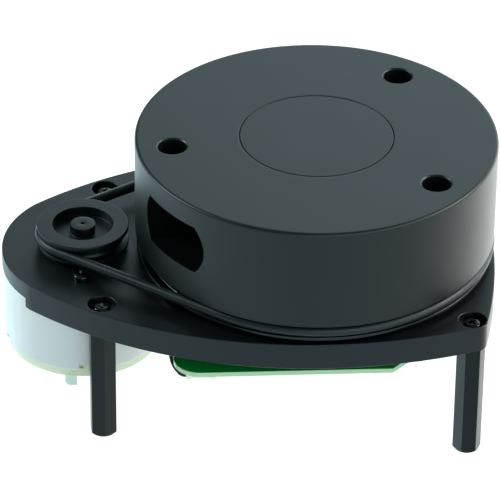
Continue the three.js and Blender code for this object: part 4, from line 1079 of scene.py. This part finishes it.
def header_pins():
    """Square pins with pointed ends, and the bar that joins them."""
    low = levels("header_pins")[0]
    pins = []
    for k in range(PIN_COUNT):
        y = HEADER_Y + (k - (PIN_COUNT - 1) / 2) * PIN_PITCH
        outline = [p + Vector((HEADER_X, y)) for p in rectangle(0.64, 0.64)]
        pins.append(prism(outline, low, BOARD_BOTTOM - 0.2, 0.22, 1))
    bar = brick((HEADER_X - 0.3, HEADER_Y - 8.3, BOARD_BOTTOM - 0.7),
                (HEADER_X + 0.3, HEADER_Y + 8.3, BOARD_BOTTOM - 0.1), 0, 0)
    return merged([*pins, bar])


MOUTH_Z = 18.15
BLACK_MOUTH_Y, RED_MOUTH_Y = -27.95, -26.2


def lead_socket():
    """A two-way wire socket: a latch rib on its face and the two lead mouths."""
    low, high = box_mm("lead_socket")
    body = brick(low, high, 0.15, 0.25)
    rib = brick((low.x + 1.8, low.y, low.z + 0.5), (high.x - 1.8, low.y + 0.6, high.z - 0.9), 0.08, 0.14)
    groove = brick((low.x + 1.0, low.y - 1, low.z - 1), (high.x - 1.0, low.y + 0.35, high.z - 0.6), 0, 0.05)
    mouths = [moved(along_x(plain(0.5, -0.5, 0.8, 24), y, MOUTH_Z), low.x)
              for y in (BLACK_MOUTH_Y, RED_MOUTH_Y)]
    return cut(join(cut(body, groove), rib), *mouths)


LEAD_END_X = box_mm("lead_socket")[0].x - TURRET_X + 0.6
BLACK_LEAD = [(-29.8, -2.8, 9.6), (-28.7, -3.5, 10), (-28, -6, 12.4), (-28.2, -10, 15.6), (-28.7, -14, 17.7),
              (-28.6, -18, 18.6), (-28.2, -21.2, 18.9), (-27.92, -23.1, 18.8), (-27.73, -24.4, 18.75),
              (-27.25, -25.95, 18.65), (-26.5, -27.3, 18.45), (-25.8, -27.87, 18.25),
              (LEAD_END_X, BLACK_MOUTH_Y, MOUTH_Z)]
RED_LEAD = [(-29.7, 1.4, 9.6), (-28.5, 0.8, 10.2), (-27.4, -3, 13.2), (-27, -8, 16), (-27.2, -13, 17.6),
            (-27.3, -18, 18.2), (-27.2, -22, 18.3), (-26.9, -24.6, 18.25), (-26.1, -25.9, 18.2),
            (LEAD_END_X, RED_MOUTH_Y, MOUTH_Z)]
LEAD_RADIUS = 0.4


def smooth_path(points, steps):
    """A centripetal spline through the points, as many short steps."""
    made = []
    spots = [Vector(p) for p in points]
    spots = [spots[0] * 2 - spots[1], *spots, spots[-1] * 2 - spots[-2]]
    for a, b, c, d in zip(spots, spots[1:], spots[2:], spots[3:]):
        for k in range(steps):
            t = k / steps
            made.append(0.5 * ((2 * b) + (c - a) * t + (2 * a - 5 * b + 4 * c - d) * t * t
                               + (3 * b - a - 3 * c + d) * t ** 3))
    made.append(spots[-2])
    return made


def tube(points, radius, around=14):
    """A round tube along a path, with closed ends."""
    vertices, faces = [], []
    side = None
    count = len(points)
    for i, point in enumerate(points):
        ahead = (points[min(i + 1, count - 1)] - points[max(i - 1, 0)]).normalized()
        side = (side - ahead * side.dot(ahead)).normalized() if side else ahead.orthogonal().normalized()
        up = ahead.cross(side)
        for k in range(around):
            angle = 2 * math.pi * k / around
            vertices.append(point + (side * math.cos(angle) + up * math.sin(angle)) * radius)
    for i in range(count - 1):
        for k in range(around):
            m = (k + 1) % around
            faces.append([i * around + k, i * around + m, (i + 1) * around + m, (i + 1) * around + k])
    faces.append(list(range(around)))
    faces.append(list(range((count - 1) * around, count * around)))
    return mesh_of(vertices, faces)


def add_leads():
    for color, points, finish in (("black", BLACK_LEAD, LEAD_BLACK), ("red", RED_LEAD, LEAD_RED)):
        made = tube(smooth_path(points, 7), LEAD_RADIUS)
        stand_in(f"motor_lead_{color}", made, CHASSIS, "base", f"lead_{color}", finish)


# ---------------------------------------------------------------- optics

BARREL_FRONT = 18.0
LASER_FRONT = 19.0


def lens_barrel():
    """A black barrel with a knurled grip, a retaining ring and its two spanner slots."""
    body = lathe(ring([
        (4.6, 2), (5.8, 2), (5.8, 14.6), (5.55, 14.7), (5.55, 15.1), (5.8, 15.2), (5.8, BARREL_FRONT),
        (5.1, BARREL_FRONT), (5.0, BARREL_FRONT - 0.6), (4.6, BARREL_FRONT - 0.7),
    ], [0.1, 0.2, 0, 0, 0, 0, 0.3, 0.15, 0.05, 0.05], 3), 96)
    slots = [moved(brick((4.0, -0.5, BARREL_FRONT - 0.5), (5.4, 0.5, BARREL_FRONT + 1), 0, 0.05),
                   turn=t) for t in (0, math.pi)]
    knurls = []
    for k in range(36):
        knurl = brick((5.62, -0.12, 15.6), (6.2, 0.12, 17.4), 0, 0)
        knurls.append(moved(knurl, turn=2 * math.pi * k / 36))
    return along_x(cut(body, *slots, merged(knurls)), WINDOW_Y, WINDOW_Z)


def laser_housing():
    """A brass diode housing with a stepped nose."""
    body = lathe(ring([
        (3.1, 3), (4.4, 3), (4.4, 16.2), (4.15, 16.3), (4.15, 16.6), (4.4, 16.7), (4.4, LASER_FRONT),
        (3.5, LASER_FRONT), (3.1, LASER_FRONT - 0.5),
    ], [0.1, 0.15, 0, 0, 0, 0, 0.25, 0.1, 0.05], 3), 80)
    return along_x(body, -WINDOW_Y, WINDOW_Z)


def lens(radius, middle_x, bulge):
    """A biconvex lens with ground edges."""
    profile = [(0, middle_x - bulge - 0.5)]
    steps = 10
    for k in range(1, steps + 1):
        share = k / steps
        profile.append((radius * share, middle_x - 0.5 - bulge * (1 - share ** 2)))
    for k in range(steps, 0, -1):
        share = k / steps
        profile.append((radius * share, middle_x + 0.5 + bulge * (1 - share ** 2)))
    profile.append((0, middle_x + bulge + 0.5))
    return lathe(profile, 64)


def optics_bracket():
    """One moulding: a foot with screw lugs, and a clamp block for each barrel."""
    foot = prism([p + Vector((2.5, 0)) for p in rectangle(29, 46, 1.2, 4)], 35.6, 38, 0.2, 2)
    receiver = brick((-1, WINDOW_Y - 7, 37), (14, WINDOW_Y + 7, 51.4), 0.3, 0.6)
    laser = brick((1, -WINDOW_Y - 6, 37), (16, -WINDOW_Y + 6, 50.6), 0.3, 0.6)
    brace = brick((-1, -WINDOW_Y, 37), (3, WINDOW_Y, 42), 0.2, 0.3)
    bores = [along_x(plain(5.85, -5, 20, 80), WINDOW_Y, WINDOW_Z),
             along_x(plain(4.45, -5, 20, 64), -WINDOW_Y, WINDOW_Z)]
    splits = [brick((-5, WINDOW_Y - 0.3, WINDOW_Z), (20, WINDOW_Y + 0.3, 53), 0, 0),
              brick((-5, -WINDOW_Y - 0.3, WINDOW_Z), (20, -WINDOW_Y + 0.3, 53), 0, 0)]
    holes = [moved(flared_hole(1.1, 34, 38), x, y) for x in (-9, 14) for y in (-21, 0, 21)
             if not (x == 14 and y)]
    return cut(join(foot, receiver, laser, brace), *bores, *splits, *holes)


def add_optics():
    receiver = along_x(lens(4.5, BARREL_FRONT - 2.2, 1.1), WINDOW_Y, WINDOW_Z)
    emitter = along_x(lens(3.0, LASER_FRONT - 2.2, 0.9), -WINDOW_Y, WINDOW_Z)
    for node, made, slot, finish in (("optics_bracket", optics_bracket(), "moulded_black", INNER_BLACK),
                                     ("lens_barrel", lens_barrel(), "black_metal", INNER_BLACK),
                                     ("laser_housing", laser_housing(), "brass", BRASS),
                                     ("receiver_lens", receiver, "lens_glass", LENS),
                                     ("laser_lens", emitter, "lens_glass", LENS)):
        stand_in(node, made, TURRET, "rotor", slot, finish)


# ---------------------------------------------------------------- bearing, encoder, slip ring

BALL_CIRCLE = 11.75
BEARING_MID = (BEARING_BOTTOM + BEARING_TOP) / 2


def race_groove(side):
    """The ball groove's section, on the inner side of the ball circle (-1) or the outer (1)."""
    angles = [side * math.radians(49 - 98 * k / 8) for k in range(9)]
    return [(BALL_CIRCLE + side * 0.84 * math.cos(a), BEARING_MID + 0.84 * math.sin(a)) for a in angles]


def bearing_rings():
    low, high = BEARING_BOTTOM, BEARING_TOP
    inner = lathe([(10, low + 0.15), (10.15, low), (INNER_RACE - 0.1, low), (INNER_RACE, low + 0.1),
                   *race_groove(-1), (INNER_RACE, high - 0.1), (INNER_RACE - 0.1, high), (10.15, high),
                   (10, high - 0.15)], 120)
    outer = lathe([(13.5, low + 0.15), (13.5, high - 0.15), (13.35, high), (12.4, high),
                   (12.3, high - 0.1), *race_groove(1), (12.3, low + 0.1), (12.4, low), (13.35, low)], 120)
    return inner, outer


def bearing_cage():
    low, high = BEARING_MID - 0.5, BEARING_MID + 1.1
    crown = lathe(ring(band(11.45, 12.05, low, high), 0.08, 2), 96)
    balls = []
    for k in range(8):
        ball = bpy.data.meshes.new("ball")
        edit = bmesh.new()
        bmesh.ops.create_uvsphere(edit, u_segments=24, v_segments=14, radius=0.8)
        edit.to_mesh(ball)
        edit.free()
        angle = 2 * math.pi * k / 8
        balls.append(moved(ball, BALL_CIRCLE * math.cos(angle), BALL_CIRCLE * math.sin(angle), BEARING_MID))
    return join(crown, *balls)


def add_bearing():
    inner, outer = bearing_rings()
    look = ("bearing_steel", BEARING_STEEL)
    put("bearing_inner_fine", inner, TURRET, "rotor", *look, "bearing_inner_ring")
    put("bearing_outer_fine", outer, CHASSIS, "base", *look, "bearing_outer_ring")
    stand_in("bearing_cage", bearing_cage(), CHASSIS, "cage", *look)


def slip_core():
    """The slip ring's moulded core, with a collar between each pair of rings."""
    low = levels("slip_core")[0]
    core = lathe([(0, low), (4.7, low), (4.9, low + 0.2), (4.9, 22.5), (5.8, 23), (5.8, DECK_FLOOR),
                  (8, DECK_FLOOR), (8, DECK_FLOOR + 0.8), (0, DECK_FLOOR + 0.8)], 72)
    collars = [lathe(ring(band(4.5, 5.65, z, z + 0.5), 0.08, 2), 72) for z in (13.95, 15.95, 17.85, 19.75)]
    dimple = lathe([(0, low - 1), (1.6, low - 1), (1.6, low + 0.6), (0, low + 0.9)], 40)
    return cut(join(core, *collars), dimple)


def add_slip_ring():
    stand_in("slip_core", slip_core(), TURRET, "rotor", "moulded_black", INNER_BLACK)
    for i in (1, 2, 3):
        low, high = levels(f"slip_ring_{i}")
        made = lathe(ring([(4.95, low), (5.78, low), (5.6, (low + high) / 2), (5.78, high), (4.95, high)],
                          [0.02, 0.15, 0.6, 0.15, 0.02], 4), 96)
        stand_in(f"slip_ring_{i}", made, TURRET, "rotor", "brass", BRASS)


# ---------------------------------------------------------------- assembly

def add_turret():
    for node, made, finish, smooth in (("rotor_cover", rotor_cover(), COVER_BLACK, 28),
                                       ("centre_disc", centre_disc(), COVER_BLACK, 28),
                                       ("rotor_deck", rotor_deck(), DECK_BLACK, 35)):
        stand_in(node, made, TURRET, "rotor", "moulded_black", finish, smooth)
    # A dark sheet over the receiver window's reveal, which paints the shade there.
    put("window_shade_sheet", window_shade_sheet(), TURRET, "rotor", "moulded_black", MATT_SHADE_BLACK)


def add_motor():
    stand_in("motor_can", motor_can(), MOTOR, "base", "can_steel", ZINC)
    stand_in("motor_end_cap", motor_end_cap(), MOTOR, "base", "cap_plastic", CAP_PLASTIC)
    # The tabs' slight green is a painted reflection of the green board.
    for node in ("motor_terminal_1", "motor_terminal_2"):
        stand_in(node, terminal(node), ROW, "base", "tinned", TAB_TIN_GREEN_REFLECTION)
    stand_in("motor_pulley", motor_pulley(), MOTOR, "pulley", "moulded_black", MOULDED)


def finish_cad_nodes():
    """Gives each CAD node that still shows its own finish."""
    for material, names in ((BEARING_STEEL, ("motor_shaft", "retaining_clip")),
                            (BRASS, ("motor_bush", "brush_fingers")),
                            (IRON, ("motor_magnet", "motor_armature")),
                            (COPPER, ("motor_winding", "motor_commutator")),
                            (INNER_BLACK, ("encoder_ring", "brush_block")),
                            (CHIP, ("speed_sensor", "rotor_chip")),
                            (BLACK_MASK, ("rotor_board", "sensor_board"))):
        for name in names:
            mesh = frame["nodes"][name].data
            mesh.materials.clear()
            mesh.materials.append(material)


stand_in("base_plate", base_plate(), CHASSIS, "base", "moulded_black", MOULDED, 28)
stand_in("drive_belt", belt(), CHASSIS, "base", "belt_rubber", RUBBER)
add_turret()
add_optics()
add_bearing()
add_slip_ring()
add_motor()
add_screws()
add_standoffs()
add_board()
add_components()
stand_in("board_header", board_header(), BOARD, "base", "socket_plastic", SOCKET)
stand_in("header_pins", header_pins(), BOARD, "base", "tinned", TINNED)
stand_in("lead_socket", lead_socket(), ROW, "base", "socket_plastic", SOCKET)
add_leads()
finish_cad_nodes()

# ---------------------------------------------------------------- floor, light and camera

FLOOR_REACH = 6.0    # metres each way


def add_floor():
    """A white floor that gives its own light, which keeps it pale under the object too."""
    r = FLOOR_REACH
    mesh = bpy.data.meshes.new("floor")
    mesh.from_pydata([(-r, -r, 0), (r, -r, 0), (r, r, 0), (-r, r, 0)], [], [[0, 1, 2, 3]])
    made, tree = new_material("floor_white")
    set_inputs(tree, tree.nodes["Principled BSDF"], {
        "Base Color": (0.35, 0.35, 0.35, 1), "Roughness": 0.9, "Specular IOR Level": 0.1,
        "Emission Color": (1, 1, 1, 1), "Emission Strength": 0.95})
    mesh.materials.append(made)
    floor = bpy.data.objects.new("floor", mesh)
    bpy.context.scene.collection.objects.link(floor)
    floor.visible_glossy = False


def add_softbox(name, azimuth, elevation, distance, size, power, color):
    """A square soft light that points at the object. Azimuth 0 is in front of it."""
    data = bpy.data.lights.new(name, "AREA")
    data.shape = "SQUARE"
    data.size = size
    data.energy = power
    data.color = color
    light = bpy.data.objects.new(name, data)
    a, e = math.radians(azimuth), math.radians(elevation)
    back = Vector((math.sin(a) * math.cos(e), -math.cos(a) * math.cos(e), math.sin(e)))
    light.location = back * distance + Vector((0, 0, 0.03))
    light.rotation_euler = (-back).to_track_quat("-Z", "Y").to_euler()
    bpy.context.scene.collection.objects.link(light)


def ramp(tree, value, start, end, low=0.0, high=1.0):
    """A smooth step from low to high as the value goes from start to end."""
    return map_range(tree, value, start, end, low, high, "SMOOTHSTEP")


def blend(tree, factor, first, second):
    """From the first value or output to the second one, as the factor goes from 0 to 1."""
    return add_node(tree, "ShaderNodeMix", {"Factor": factor, "A": first, "B": second}).outputs["Result"]


def total(tree, first, second):
    return add_node(tree, "ShaderNodeMath", {0: first, 1: second}, operation="ADD").outputs["Value"]


def add_world():
    """A studio with pale walls low down, brightest behind and above all behind on the right, a
    card behind the object from its middle to its right, and a dim ceiling. The light is cool,
    and neutral from the right."""
    world = bpy.data.worlds.new("studio")
    world.use_nodes = True
    tree = world.node_tree
    direction = tree.nodes.new("ShaderNodeTexCoord").outputs["Generated"]
    split = add_node(tree, "ShaderNodeSeparateXYZ", {"Vector": direction}).outputs
    across, along, up = split["X"], split["Y"], split["Z"]
    walls = total(tree, ramp(tree, along, -0.3, 0.5, 0.8, 1.85),
                  ramp(tree, across, -0.8, -0.1, 0.15, 0.0))
    back_right = blend(tree, ramp(tree, along, 0.3, 0.65), 0.0,
                       ramp(tree, across, 0.0, 0.4, 0.0, 0.9))
    card = ramp(tree, across, -0.2, 0.06, 0.12, 2.2)
    level = blend(tree, ramp(tree, up, -0.1, 0.15), total(tree, walls, back_right), card)
    level = blend(tree, ramp(tree, up, 0.35, 0.8), level, 0.2)
    to_right = add_node(tree, "ShaderNodeVectorMath", {0: direction, 1: (1.4, 1.0, -1.2)},
                        operation="DOT_PRODUCT").outputs["Value"]
    tint = mix_colors(tree, ramp(tree, to_right, 0.6, 1.7), (0.73, 1.0, 1.06, 1), (0.96, 1.0, 0.98, 1))
    set_inputs(tree, tree.nodes["Background"], {"Strength": level, "Color": tint})
    bpy.context.scene.world = world


CAMERA_PLACE = Vector((-13.62, -633.85, 443.4)) * MM
CAMERA_HEADING = math.radians(1.266)
CAMERA_PITCH = math.radians(33.206)
CAMERA_ROLL = math.radians(0.632)
CAMERA_LENS, CAMERA_SENSOR = 278.7, 36.0


def add_camera():
    data = bpy.data.cameras.new("camera")
    data.sensor_width = CAMERA_SENSOR
    data.lens = CAMERA_LENS
    data.clip_start = 0.01
    data.clip_end = 50
    forward = Vector((math.sin(CAMERA_HEADING) * math.cos(CAMERA_PITCH),
                      math.cos(CAMERA_HEADING) * math.cos(CAMERA_PITCH), -math.sin(CAMERA_PITCH)))
    level = Vector((math.cos(CAMERA_HEADING), -math.sin(CAMERA_HEADING), 0))
    upright = level.cross(forward)
    right = level * math.cos(CAMERA_ROLL) + upright * math.sin(CAMERA_ROLL)
    up = upright * math.cos(CAMERA_ROLL) - level * math.sin(CAMERA_ROLL)
    camera = bpy.data.objects.new("camera", data)
    turn = Matrix((right, up, -forward)).transposed().to_4x4()
    camera.matrix_world = Matrix.Translation(CAMERA_PLACE) @ turn
    bpy.context.scene.collection.objects.link(camera)
    bpy.context.scene.camera = camera


add_floor()
add_softbox("left_box", -104, 34, 0.9, 0.3, 4.6, (0.76, 0.94, 1.0))
add_softbox("right_box", 98, 34, 0.9, 0.3, 4.2, (1.0, 0.97, 0.93))
add_world()
add_camera()
bpy.context.scene.view_settings.view_transform = "Standard"
